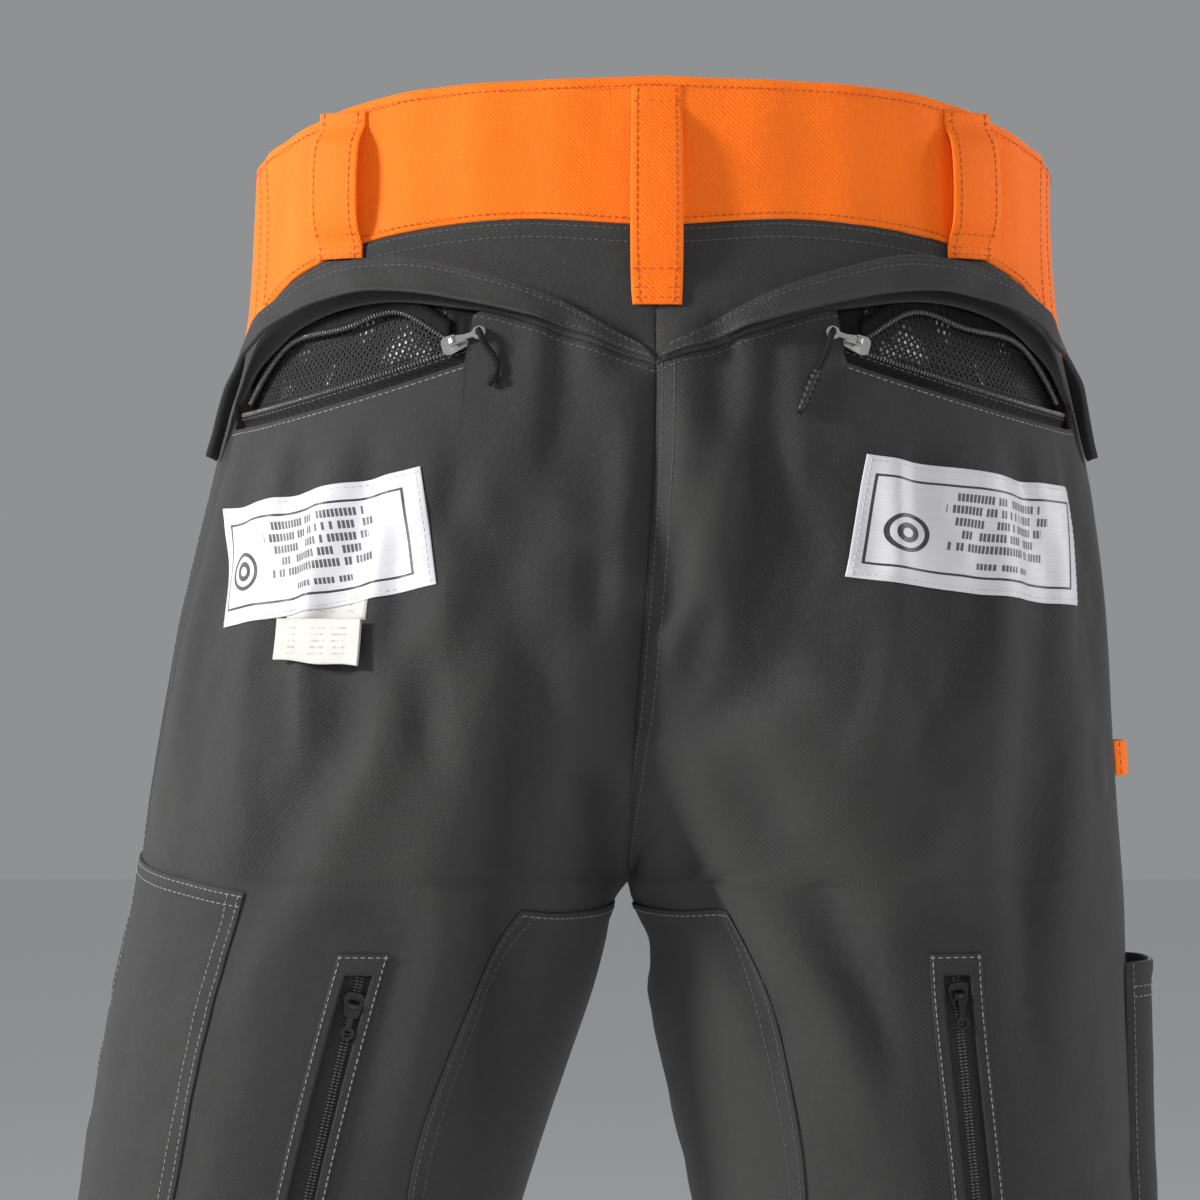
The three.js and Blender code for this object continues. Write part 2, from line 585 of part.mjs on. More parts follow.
function pullCord(name, side, place) {
  const ring = new THREE.Vector3(-PULL_LENGTH, 0, PIN_HEIGHT);
  const inPull = (along, out) => ring.clone().add(new THREE.Vector3(along, 0, out)).applyMatrix4(place);
  const start = inPull(0, -0.6);
  const clear = CORD_DIAMETER / 2 + 1.2;
  const from = side * (start.x - lean(start.z));
  const hanging = CORD_DROPS[name].map((drop, i) => {
    const z = start.z - drop;
    const u = acrossTo(side, "back", from - CORD_DRIFTS[name][i], z);
    return onCloth(side, "back", u, z, i === 0 ? clear + 3 : clear);
  });
  const points = [start, inPull(0, 1), inPull(-0.6, 2.8), ...hanging];
  const section = new THREE.Shape().absarc(0, 0, CORD_DIAMETER / 2, 0, 2 * Math.PI, false);
  const tube = new THREE.ExtrudeGeometry(section, {
    steps: 14,
    curveSegments: 8,
    bevelEnabled: false,
    extrudePath: new THREE.CatmullRomCurve3(points),
  });
  add(`vent_cord_${name}`, mergeVertices(tube), BLACK);
  cords[name] = points;
}

// The storm flap over the vent, pushed up out of the zip's way: a crescent from the middle seam to the side.
const FLAP_FOLD = [
  [0, 242], [0.12, 257], [0.27, 268], [0.405, 273], [0.523, 270], [0.636, 262], [0.72, 251], [0.8, 238],
  [0.86, 222], [0.9, 200],
];
const FLAP_EDGE = [
  [0.015, 249], [0.14, 272], [0.33, 289], [0.45, 290], [0.575, 284], [0.69, 272], [0.8, 258], [0.88, 242],
  [0.95, 222], [0.985, 196],
];
const FLAP_DROP = 34; // how far the flap comes down to cover the closed zip
const FLAP_LIFT = [[0, 0.9], [0.06, 2], [0.15, 8], [0.25, 10], [1, 10]];

function ventFlap(name, side) {
  const last = FLAP_FOLD.length - 1;
  const geometry = sheet(spaced(0, last, 2 * last), [0, 0.5, 1], (t, v, w) => {
    const i = Math.min(Math.floor(t), last - 1);
    const between = (line, k) => THREE.MathUtils.lerp(line[i][k], line[i + 1][k], t - i);
    const u = THREE.MathUtils.lerp(between(FLAP_FOLD, 0), between(FLAP_EDGE, 0), v);
    const z = up(THREE.MathUtils.lerp(between(FLAP_FOLD, 1), between(FLAP_EDGE, 1), v));
    const lift = through(FLAP_LIFT, u, 1) * (1 - 0.25 * v) + FABRIC * w;
    return onCloth(side, "back", Math.max(u, 0.004), z, lift);
  });
  add(`vent_flap_${name}`, geometry, GREY);
  const [u, z] = [0.55, up(262)];
  const rising = onCloth(side, "back", u, z).sub(onCloth(side, "back", u, z - FLAP_DROP));
  joints[`vent_flap_${name}`] = { axis: rising.normalize(), travel: FLAP_DROP };
}

// Mesh behind the vent's mouth: sewn flat behind the panels and slack between them.
function ventMesh(name, side) {
  const sewn = -FABRIC - LAYER_GAP;
  const slack = ZIP_DEPTH - CHAIN_HEIGHT / 2 - SLIDER_CLEARANCE - PLATE - 2.4;
  const rows = [
    [(u) => zipHeight(side, u) - 22, sewn],
    [(u) => zipHeight(side, u) - 17, sewn],
    [(u) => zipHeight(side, u) - 8, slack],
    [(u) => Math.max(height(OPEN_ZIP_LINE, u), zipHeight(side, u) + 6), slack],
    [(u) => height(YOKE_SEAM, u) + 14, sewn - 2],
    [(u) => height(YOKE_SEAM, u) + 19, sewn],
  ];
  const mesh = sheet(spaced(VENT_INNER - 0.03, VENT_OUTER + 0.03, 10), rows.map((row, i) => i), (u, i, w) =>
    onCloth(side, "back", u, rows[i][0](u), rows[i][1] - 1 + w),
  );
  add(`vent_mesh_${name}`, mesh, BLACK);
}

// ---------------------------------------------------------------- sewn-on pieces
// A patch with its corners given as distance across from the middle line and height above the crotch, in the
// order low inner, low outer, high outer, high inner.
function patch(name, side, face, corners, color, columns, rows) {
  const [lowIn, lowOut, highOut, highIn] = corners;
  const mix = (k, across, v) =>
    THREE.MathUtils.lerp(
      THREE.MathUtils.lerp(lowIn[k], lowOut[k], across),
      THREE.MathUtils.lerp(highIn[k], highOut[k], across),
      v,
    );
  const shape = sheet(spaced(0, 1, columns), spaced(0, 1, rows), (t, v, w) => {
    const [inner, outer] = [mix(0, 0, v), mix(0, 1, v)];
    let z = up(mix(1, 0.5, v));
    let u = 0;
    for (let i = 0; i < 4; i++) {
      u = THREE.MathUtils.lerp(acrossTo(side, face, inner, z), acrossTo(side, face, outer, z), t);
      const share = (side * (onCloth(side, face, u, z).x - lean(z)) - inner) / (outer - inner);
      z = up(mix(1, share, v));
    }
    return onCloth(side, face, u, z, TRIM_GAP + TRIM * w);
  });
  return add(name, shape, color);
}

function labels() {
  patch("label_left", -1, "back", [[96, 138], [199, 118], [202, 174], [108, 193]], WHITE, 6, 3);
  patch("label_right", 1, "back", [[92, 142], [205, 128], [198, 184], [99, 199]], WHITE, 6, 3);
  // The care tag is a loop of tape, sewn in under the left label, that swings on its top edge.
  const top = up(122.2);
  const u = acrossTo(-1, "back", 150, top);
  const at = (du, z, lift) => onCloth(-1, "back", u + du, z, lift);
  const across = at(-0.02, top, 0).sub(at(0.02, top, 0)).normalize();
  const out = at(0, top, 1).sub(at(0, top, 0));
  const place = new THREE.Matrix4()
    .makeBasis(across, new THREE.Vector3().crossVectors(out, across), out)
    .setPosition(at(0, top, (TRIM_GAP + TAG_THICKNESS) / 2));
  const tag = block([-TAG_SIZE[0] / 2, TAG_SIZE[0] / 2], [-TAG_SIZE[1], 0], [-TAG_THICKNESS / 2, TAG_THICKNESS / 2]);
  add("care_tag", tag.applyMatrix4(place), WHITE);
  joints.care_tag = { at: new THREE.Vector3().setFromMatrixPosition(place), axis: across.clone().negate() };
}

// A strip along the cloth: centreAt gives its middle, in u, at each height, and reach how far it goes to each
// side, in millimetres.
const strip = (side, face, centreAt, reach, rows, inside = TRIM_GAP, outside = TRIM_GAP + TRIM) =>
  sheet(reach, rows, (across, z, w) => {
    const u = centreAt(z);
    return onCloth(side, face, u + across * perMillimetre(side, face, u, z), z, inside + (outside - inside) * w);
  });

// A zip that runs straight up the cloth, closed, with its slider at the top. behind gives the point where the
// tape lies at a distance across and along it.
function straightZip(name, frame, length, behind) {
  const inFrame = (x, y, z) => new THREE.Vector3(x, y, z).applyMatrix4(frame);
  const half = (side) =>
    zipHalf(spaced(0, 1, 6), (t, across, out) =>
      across <= TAPE_FREE
        ? inFrame(side * across, t * length, STRAIGHT_DEPTH + out)
        : behind(side * across, t * length, out),
    );
  const stop = (y) =>
    block([-CHAIN_OUTER, CHAIN_OUTER], y, [STRAIGHT_DEPTH - 1, STRAIGHT_DEPTH + 1]).applyMatrix4(frame);
  const ends = [[0, 1.6], [length - 1.6, length]];
  add(`${name}_zip`, joined(half(-1), half(1), ...ends.map(stop)), BLACK);

  const metal = { metalness: 0.9, roughness: 0.3 };
  const place = frame
    .clone()
    .multiply(new THREE.Matrix4().makeTranslation(0, length - SLOT_END - SLIDER_LENGTH / 2 - 1, STRAIGHT_DEPTH))
    .multiply(new THREE.Matrix4().makeRotationZ(Math.PI / 2));
  add(`${name}_slider`, sliderShape().applyMatrix4(place), METAL, metal);
  add(`${name}_pull`, pullShape().translate(0, 0, PIN_HEIGHT).applyMatrix4(place), METAL, metal);
  joints[`${name}_zip`] = {
    axis: new THREE.Vector3(0, 1, 0).transformDirection(frame),
    travel: length - 2 * SLOT_END - SLIDER_LENGTH - PULL_LENGTH - 7,
  };
  joints[`${name}_pull`] = {
    at: new THREE.Vector3(0, 0, PIN_HEIGHT).applyMatrix4(place),
    axis: new THREE.Vector3(0, 1, 0).transformDirection(place),
  };
}

const STRAIGHT_DEPTH = -4.9; // a straight zip's middle, below the line between its ends
const STRAIGHT_TAPE = TAPE_DEPTH - 1.3; // the legs' wide facets dip under their round, so this tape lies deeper

function legVent(name, side) {
  const frame = legVentFrame(name, side);
  const u = LEG_VENT_U[name];
  const placket = strip(
    side, "back", () => u, spaced(-LEG_VENT_WIDTH / 2, LEG_VENT_WIDTH / 2, 4),
    spaced(LEG_VENT_FOOT, LEG_VENT_TOP, 6),
  );
  add(`leg_vent_${name}_placket`, cut(placket, slotIn(frame, LEG_VENT_LENGTH)), GREY);
  const rise = LEG_VENT_TOP - LEG_VENT_FOOT;
  straightZip(`leg_vent_${name}`, frame, LEG_VENT_LENGTH, (across, along, out) => {
    const z = LEG_VENT_FOOT + (along / LEG_VENT_LENGTH) * rise;
    const turned = across * side * perMillimetre(side, "back", u, z);
    return onCloth(side, "back", u + turned, z, STRAIGHT_TAPE + out);
  });
}

// The fly: a zip up the middle of the front, under a flap that swings on its edge at the wearer's left.
function fly() {
  const frame = flyFrame();
  const behind = (across, along, out) => {
    const side = across < 0 ? -1 : 1;
    const z = FLY_FOOT + along;
    const u = Math.abs(across) * perMillimetre(side, "front", 0.02, z);
    return onCloth(side, "front", u, z, STRAIGHT_TAPE + out);
  };
  straightZip("fly", frame, FLY_LENGTH, (across, along, out) => behind(-across, along, out));
  const reach = [-FLY_WIDTH * 0.6, -9, 0, FLY_WIDTH * 0.4];
  const flap = sheet(reach, [-4, FLY_LENGTH / 2, FLY_LENGTH + 4], (across, along, w) => {
    const side = across < 0 ? -1 : 1;
    const z = FLY_FOOT + along;
    const u = Math.abs(across) * perMillimetre(side, "front", 0.02, z);
    const edge = across === reach[0] || across === reach[3];
    return onCloth(side, "front", u, z, (edge ? TRIM_GAP : FLY_STAND) + FABRIC * w);
  });
  add("fly_flap", flap, GREY);
  const hingeU = -reach[0] * perMillimetre(-1, "front", 0.02, FLY_FOOT);
  const low = onCloth(-1, "front", hingeU, FLY_FOOT, TRIM_GAP + FABRIC / 2);
  const high = onCloth(-1, "front", hingeU, FLY_FOOT + FLY_LENGTH, TRIM_GAP + FABRIC / 2);
  joints.fly_flap = { at: low, axis: high.sub(low).normalize() };

  const z = up(292);
  const seat = onCloth(-1, "front", 0.05, z, 0.6);
  const button = new THREE.LatheGeometry(
    [[0, 0], [BUTTON / 4, 0], [BUTTON / 4, 1.6], [BUTTON / 2, 1.6], [BUTTON / 2, 3.4], [BUTTON / 2 - 1, 4], [0, 4]]
      .map(([r, h]) => new THREE.Vector2(r, h)),
    20,
  );
  add("waist_button", mergeVertices(button.translate(seat.x, seat.y + 0.4, seat.z)), DARK);
}

const FLY_STAND = 6;
const BUTTON = 17;

// Tougher cloth over the inside of each thigh, the outer side of the left knee, and a pocket and a tab on the
// outer side of the right leg.
function patches() {
  for (const [name, side] of SIDES) {
    const edge = [[leg(540), 0.28], [leg(660), 0.35], [leg(735), 0.34], [leg(790), 0.29]];
    const columns = [...SEAT_COLUMNS.slice(1, 4), Infinity];
    const shape = sheet(columns, LEG_ROWS.slice(0, 5), (u, z, w) =>
      onCloth(side, "back", Math.min(u, through(edge, z, 1)), z, TRIM_GAP + TRIM * w),
    );
    add(`inner_thigh_patch_${name}`, shape, GREY);
  }
  const sideRows = [...LEG_ROWS.slice(1, 4), leg(775), Infinity];
  const sidePatch = sheet(spaced(0, 1, 5), sideRows, (t, row, w) => {
    const z = Math.min(row, up(-6 + 14 * t));
    return onCloth(-1, "back", THREE.MathUtils.lerp(0.66, 0.975, t), z, TRIM_GAP + TRIM * w);
  });
  add("side_patch_left", sidePatch, GREY);

  const onSide = (across, z, lift) => {
    const angle = Math.PI + across / tubeAt(1, z).back;
    return onTube(1, z, angle).addScaledVector(tubeNormal(1, z, angle), lift);
  };
  const [width, tall] = POCKET_SIZE;
  const wall = 1.6;
  const pocketTop = leg(756);
  const rows = spaced(pocketTop - tall, pocketTop, 3);
  const bag = (widths, heights, low, high) =>
    sheet(widths, heights, (across, z, w) => onSide(across, z, low + (high - low) * w));
  const outer = bag(spaced(-width / 2, width / 2, 4), rows, TRIM_GAP, TRIM_GAP + 2 * wall + POCKET_GAP);
  const inner = bag(
    spaced(-width / 2 + wall, width / 2 - wall, 4),
    [rows[0] + wall, ...rows.slice(1, 3), pocketTop + 5],
    TRIM_GAP + wall,
    TRIM_GAP + wall + POCKET_GAP,
  );
  add("ruler_pocket", cut(outer, inner), GREY);
  const tab = sheet([-0.8, 0.8], [up(45), up(62)], (across, z, w) => onSide(across, z, TRIM_GAP + 7 * w));
  add("side_tab", tab, ORANGE);
}

for (const [name, side] of SIDES) {
  panels(name, side);
  innerLayers(name, side);
  ventZip(name, side);
  ventFlap(name, side);
  ventMesh(name, side);
  legVent(name, side);
}
waistband();
beltLoops();
labels();
fly();
patches();

const bounds = new THREE.Box3().setFromObject(trousers);
const middle = bounds.getCenter(new THREE.Vector3());
trousers.position.set(-middle.x, -middle.y, -bounds.min.z);
Object.assign(trousers.userData, { joints, cords });

export default trousers;
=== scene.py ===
"""Looks for a pair of chainsaw protective trousers that stand open as if on a wearer. Metres, +Z up, wearer facing +Y.

Lengths are worked out in millimetres in the garment's own frame, whose middle plane is x = 0 at the crotch, and
solid_sheet() moves them into the row frame in metres.
"""
import json
import math

import bmesh
import bpy
import numpy as np
from mathutils import Matrix, Vector


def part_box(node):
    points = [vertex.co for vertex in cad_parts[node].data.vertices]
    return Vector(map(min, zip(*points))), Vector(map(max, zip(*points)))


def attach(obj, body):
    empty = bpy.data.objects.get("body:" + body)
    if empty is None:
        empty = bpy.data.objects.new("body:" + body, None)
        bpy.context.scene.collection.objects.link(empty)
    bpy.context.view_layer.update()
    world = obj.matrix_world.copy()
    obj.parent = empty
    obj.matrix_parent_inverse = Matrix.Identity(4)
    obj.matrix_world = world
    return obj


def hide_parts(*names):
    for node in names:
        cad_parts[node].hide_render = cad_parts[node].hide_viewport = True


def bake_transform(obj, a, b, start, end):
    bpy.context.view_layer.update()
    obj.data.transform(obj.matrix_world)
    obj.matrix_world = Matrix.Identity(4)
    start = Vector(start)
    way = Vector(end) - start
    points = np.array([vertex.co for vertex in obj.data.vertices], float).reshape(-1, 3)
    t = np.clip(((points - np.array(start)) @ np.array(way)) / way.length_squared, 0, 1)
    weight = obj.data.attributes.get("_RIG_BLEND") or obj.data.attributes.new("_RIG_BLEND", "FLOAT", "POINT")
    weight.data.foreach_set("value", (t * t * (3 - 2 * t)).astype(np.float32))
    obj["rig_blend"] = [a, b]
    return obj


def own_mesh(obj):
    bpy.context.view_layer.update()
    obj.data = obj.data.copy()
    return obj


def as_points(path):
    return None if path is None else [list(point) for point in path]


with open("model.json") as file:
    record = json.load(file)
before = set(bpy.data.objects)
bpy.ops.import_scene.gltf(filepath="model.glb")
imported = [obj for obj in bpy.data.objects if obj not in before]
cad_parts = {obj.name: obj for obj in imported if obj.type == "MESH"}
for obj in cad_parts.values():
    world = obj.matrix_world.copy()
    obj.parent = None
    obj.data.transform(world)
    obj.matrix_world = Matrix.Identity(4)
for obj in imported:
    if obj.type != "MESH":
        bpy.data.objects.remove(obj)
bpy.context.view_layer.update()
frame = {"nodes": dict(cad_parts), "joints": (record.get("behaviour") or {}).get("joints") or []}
NODES = frame["nodes"]
JOINTS = {joint["name"]: joint for joint in frame["joints"]}
rng = np.random.default_rng(7)

# ------------------------------------------------------------------ driving dimensions, as in the CAD
INSEAM = 800.0
KNEE_SEAM = 470.0
CUFF_HEIGHT = 30.0
LEAN = 12.0
ROUNDNESS = 2.2
FABRIC = 2.0
PAD_THICKNESS = 5.0
LINING = 0.8
LAYER_GAP = 0.6
SEAM_GAP = 0.04
TRIM = 1.2
TAG_THICKNESS = 1.4
TAG_SIZE = (45.0, 21.0)
LOOP_WIDTH = 27.0
LOOP_GAP = 7.0
LOOP_THICKNESS = 1.6
CHAIN_HALF_GAP = 1.0
CHAIN_WIDTH = 2.2
CHAIN_HEIGHT = 3.2
LIP_DROP = 9.0
TAPE_FREE = 5.2
TAPE_THICKNESS = 0.8
TAPE_DEPTH = -FABRIC - LAYER_GAP - TAPE_THICKNESS / 2
STRAIGHT_DEPTH = -4.9
ZIP_DEPTH = -2.9
ZIP_SLOT = 13.0
SLOT_END = 10.0
SLIDER_LENGTH = 12.0
CORD_DIAMETER = 3.0
LEG_VENT_U = {"left": 0.487, "right": 0.57}
LEG_VENT_TOP = 766.0
LEG_VENT_FOOT = 536.0
LEG_VENT_WIDTH = 25.0
POCKET_SIZE = (64.0, 190.0)
FLY_LENGTH = 108.0
FLY_STAND = 6.0
SIDES = (("left", -1), ("right", 1))


def up(height):
    """A height above the crotch."""
    return INSEAM + np.asarray(height, float)


FLY_FOOT = float(up(140))

# The cuff's lowest corner is 366 mm left of and 88 mm behind the garment's own origin.
cuff_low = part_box("cuff_left")[0]
SHIFT = np.array([cuff_low.x * 1000 + 366, cuff_low.y * 1000 + 88, 0])

# Height, half-width, the tube's middle from the garment's (left, right), depth behind and in front, and y.
BODY_CHART = [
    (0, 82, 284, 208, 80, 80, -8),
    (320, 86, 225, 175, 84, 84, -5),
    (480, 91, 195, 158, 88, 88, -3),
    (648, 105, 160, 138, 103, 95, -7),
    (736, 113, 138, 126, 113, 98, -9),
    (800, 118, 118, 118, 122, 100, -10),
    (870, 141, 88, 88, 140, 107, -7),
    (930, 158, 64, 64, 148, 111, -5),
    (999, 173, 36, 36, 143, 112, -5),
    (1059, 184, 14, 14, 131, 111, -5),
    (1108, 190, 4, 4, 122, 110, -5),
    (1176, 193, 0, 0, 118, 110, -5),
]
YOKE_SEAM = [
    (0, 240), (0.12, 255), (0.21, 264), (0.27, 267), (0.405, 271), (0.523, 268),
    (0.636, 260), (0.72, 250), (0.8, 240), (0.866, 228), (1, 219),
]
BAND_SEAM = [(0, 306), (0.2, 309), (0.434, 302), (0.58, 292), (0.73, 278), (0.82, 263), (1, 243)]
FRONT_BAND_SEAM = [(0, 262), (0.5, 254), (1, 243)]
WAIST_TOP = [(0, 376), (0.4, 370), (0.75, 350), (1, 338)]
FRONT_TOP = [(0, 318), (0.5, 326), (1, 338)]
ZIP_LINE = [(0.285, 250), (0.52, 233), (0.866, 223)]
OPEN_ZIP_LINE = [(0.3, 254), (0.405, 268), (0.523, 261), (0.655, 257), (0.725, 250), (0.85, 228)]
VENT_INNER = 0.262
VENT_OUTER = 0.885
FLAP_FOLD = [
    (0, 242), (0.12, 257), (0.27, 268), (0.405, 273), (0.523, 270), (0.636, 262),
    (0.72, 251), (0.8, 238), (0.86, 222), (0.9, 200),
]
FLAP_EDGE = [
    (0.015, 249), (0.14, 272), (0.33, 289), (0.45, 290), (0.575, 284), (0.69, 272),
    (0.8, 258), (0.88, 242), (0.95, 222), (0.985, 196),
]
FLAP_LIFT = [(0, 0.9), (0.06, 2), (0.15, 8), (0.25, 10), (0.78, 9.5), (0.98, 4)]
LABELS = {
    "left": [(96, 138), (199, 118), (202, 174), (108, 193)],
    "right": [(92, 142), (205, 128), (198, 184), (99, 199)],
}


# ------------------------------------------------------------------ the surface that the cloth follows
def through(rows, where):
    """A smooth curve through rows of (where, value, ...), read at many places: the values are the last axis."""
    rows = np.asarray(rows, float)
    x, y = rows[:, 0], rows[:, 1:]
    last = len(x) - 1
    before = np.maximum(np.arange(last + 1) - 1, 0)
    after = np.minimum(np.arange(last + 1) + 1, last)
    slope = (y[after] - y[before]) / (x[after] - x[before])[:, None]
    where = np.asarray(where, float)
    i = np.clip(np.searchsorted(x, where, side="right") - 1, 0, last - 1)
    span = (x[i + 1] - x[i])[..., None]
    t = np.clip((where[..., None] - x[i][..., None]) / span, 0, 1)
    t2, t3 = t * t, t * t * t
    return (
        (2 * t3 - 3 * t2 + 1) * y[i]
        + (t3 - 2 * t2 + t) * span * slope[i]
        + (3 * t2 - 2 * t3) * y[i + 1]
        + (t3 - t2) * span * slope[i + 1]
    )


def line_height(line, u):
    return up(through(line, u)[..., 0])


def smoothstep(x, low, high):
    t = np.clip((np.asarray(x, float) - low) / (high - low), 0, 1)
    return t * t * (3 - 2 * t)


def power(value, exponent):
    return np.sign(value) * np.abs(value) ** exponent


def lean(z):
    return LEAN * smoothstep(z, INSEAM, 1040)


def mix(a, b, t):
    return a + (b - a) * t


def tube(side, z):
    half, left, right, back, front, y = np.moveaxis(through(BODY_CHART, z), -1, 0)
    return half, (left if side < 0 else right), back, front, y


def on_tube(side, z, angle):
    """A point on one side's tube; the angle runs from the inside of the leg round the back and on to the front."""
    half, middle, back, front, y = tube(side, z)
    cos, sin = np.cos(angle), np.sin(angle)
    out = middle - half * power(cos, 2 / ROUNDNESS)
    depth = np.where(sin > 0, back, front)
    x = lean(z) + side * out
    return np.stack([x, y - depth * power(sin, 2 / ROUNDNESS), np.asarray(z, float) + 0 * x], -1)


def unit(vectors):
    return vectors / np.maximum(np.linalg.norm(vectors, axis=-1, keepdims=True), 1e-12)


def tube_normal(side, z, angle):
    along = on_tube(side, z, angle + 0.02) - on_tube(side, z, angle - 0.02)
    rising = on_tube(side, z + 2, angle) - on_tube(side, z - 2, angle)
    return unit(np.cross(along, rising)) * side


def angle_at(side, face, u, z):
    half, middle, back, _, _ = tube(side, z)
    share = np.minimum(1, (middle - SEAM_GAP / 2) / half)
    inner = np.maximum(np.arccos(power(share, ROUNDNESS / 2)), SEAM_GAP / half)
    turn = inner + u * (math.pi - SEAM_GAP / 2 / back - inner)
    return turn if face == "back" else 2 * math.pi - turn


def bare(side, face, u, z, lift=0.0):
    """A point over the cloth before it is creased, as the CAD has it."""
    u, z = np.broadcast_arrays(np.asarray(u, float), np.asarray(z, float))
    angle = angle_at(side, face, u, z)
    lift = np.asarray(lift, float)
    point = on_tube(side, z, angle) + tube_normal(side, z, angle) * lift[..., None]
    outward = side * (point[..., 0] - lean(z))
    held = np.where(z > INSEAM, np.maximum(outward, SEAM_GAP / 2), outward)
    point[..., 0] = lean(z) + side * held
    return point


def across_to(side, face, distance, z):
    """u at a distance across the garment from its middle line."""
    distance, z = np.broadcast_arrays(np.asarray(distance, float), np.asarray(z, float))
    low, high = np.zeros(z.shape), np.ones(z.shape)
    for _ in range(26):
        u = (low + high) / 2
        x = on_tube(side, z, angle_at(side, face, u, z))[..., 0]
        nearer = side * (x - lean(z)) < distance
        low, high = np.where(nearer, u, low), np.where(nearer, high, u)
    return low


def per_millimetre(side, face, u, z):
    start = np.minimum(u, 0.99)
    return 0.01 / np.linalg.norm(bare(side, face, start, z) - bare(side, face, start + 0.01, z), axis=-1)


# ------------------------------------------------------------------ creases and folds
FOLD_STRENGTH = 1.75
DEEPEST_FOLD = 11.0
U_GRID = np.linspace(0, 1, 141)
Z_GRID = np.linspace(0, 1180, 296)
FACES = ("back", "front")

# Folds: the points that one follows (across from the middle plane, height above the crotch), how far it stands
# out (or in, where negative), and how wide it is before and after its line.
BACK_FOLDS = [
    ([(60, 216), (71, 186), (79, 150), (78, 118), (61, 98), (35, 79), (19, 58)], -6.5, 15, 24),
    ([(39, 131), (30, 108), (25, 85)], -3.0, 9, 9),
    ([(96, 112), (100, 70), (92, 30), (78, -10)], 5.0, 22, 20),
    ([(214, 131), (201, 66), (188, 0), (185, -61), (190, -130)], -5.0, 12, 16),
    ([(160, 90), (158, 30), (165, -40), (172, -110)], 3.5, 18, 18),
    ([(-59, 186), (-95, 110), (-140, 4), (-157, -30)], 3.0, 13, 15),
    ([(-56, 144), (-76, 66), (-105, -61), (-120, -140)], 4.5, 15, 19),
    ([(-40, 131), (-56, 0), (-62, -61), (-74, -130)], -5.0, 13, 13),
    ([(-14, 62), (-9, 30), (-12, -20)], -5.0, 10, 12),
    ([(-120, 96), (-158, 30), (-190, -40)], -3.0, 14, 14),
    ([(16, 40), (35, -1), (67, -64), (80, -110)], -4.5, 7, 9),
    ([(28, 46), (62, -12), (98, -64), (118, -120)], 4.5, 9, 12),
    ([(38, 66), (84, 6), (113, -60), (130, -110)], -3.5, 10, 12),
    ([(52, 92), (110, 24), (140, -50)], 2.5, 12, 14),
    ([(-100, 214), (-120, 160), (-150, 90)], -2.0, 14, 16),
    ([(120, 214), (140, 150), (150, 80)], -2.0, 16, 18),
    ([(20, 226), (40, 190), (44, 150)], 3.0, 13, 16),
    ([(-30, 222), (-46, 186), (-48, 140)], -2.2, 11, 15),
]
FRONT_FOLDS = [
    ([(-10, 110), (-60, 70), (-120, 50)], -4.5, 9, 14),
    ([(14, 100), (70, 62), (130, 44)], -4.5, 9, 14),
    ([(-12, 60), (-60, 20), (-110, -10)], 4.0, 10, 12),
    ([(14, 56), (66, 14), (120, -12)], 4.0, 10, 12),
    ([(-100, 200), (-110, 100), (-130, 0), (-150, -120)], -3.5, 16, 18),
    ([(100, 200), (112, 100), (128, 0), (150, -120)], -3.5, 16, 18),
]


def crease(x, h, points, depth, before, after):
    """How far one fold moves the cloth at each (x, h)."""
    points = np.asarray(points, float)
    legs = np.diff(points, axis=0)
    lengths = np.linalg.norm(legs, axis=1)
    starts = np.concatenate([[0], np.cumsum(lengths)])
    best = np.full(x.shape, 1e9)
    signed = np.zeros(x.shape)
    along = np.zeros(x.shape)
    for start, leg, length, done in zip(points, legs, lengths, starts):
        dx, dh = x - start[0], h - start[1]
        t = np.clip((dx * leg[0] + dh * leg[1]) / length**2, 0, 1)
        away = np.hypot(dx - t * leg[0], dh - t * leg[1])
        turn = np.sign(dx * leg[1] - dh * leg[0])
        closer = away < best
        best = np.where(closer, away, best)
        signed = np.where(closer, away * turn, signed)
        along = np.where(closer, done + t * length, along)
    width = np.where(signed < 0, before, after)
    share = along / starts[-1]
    fade = smoothstep(share, -0.08, 0.3) * smoothstep(1 - share, -0.08, 0.35)
    return depth * np.exp(-((best / width) ** 2)) * fade


def scattered_folds(side, face):
    """Creases across the back of the knee and over the cuff, where a trouser leg always has some."""
    found = []
    chance = np.random.default_rng(31 + 5 * side + (face == "front"))
    spots = [(470, 60, 9), (300, 70, 5), (130, 60, 8), (610, 40, 4)]
    for height, spread, count in spots:
        for _ in range(count):
            z = height + chance.normal() * spread * 0.6
            _, middle, _, _, _ = tube(side, np.array(z))
            x = side * middle + chance.uniform(-70, 70)
            reach = chance.uniform(28, 60)
            rise = chance.uniform(-0.65, 0.65) * reach
            sway = chance.uniform(-8, 8)
            points = [(x - reach, z - INSEAM - rise), (x, z - INSEAM + sway), (x + reach, z - INSEAM + rise)]
            depth = chance.choice([-1, 1]) * chance.uniform(1.6, 3.8)
            found.append((points, depth, chance.uniform(7, 13), chance.uniform(9, 17)))
    return found


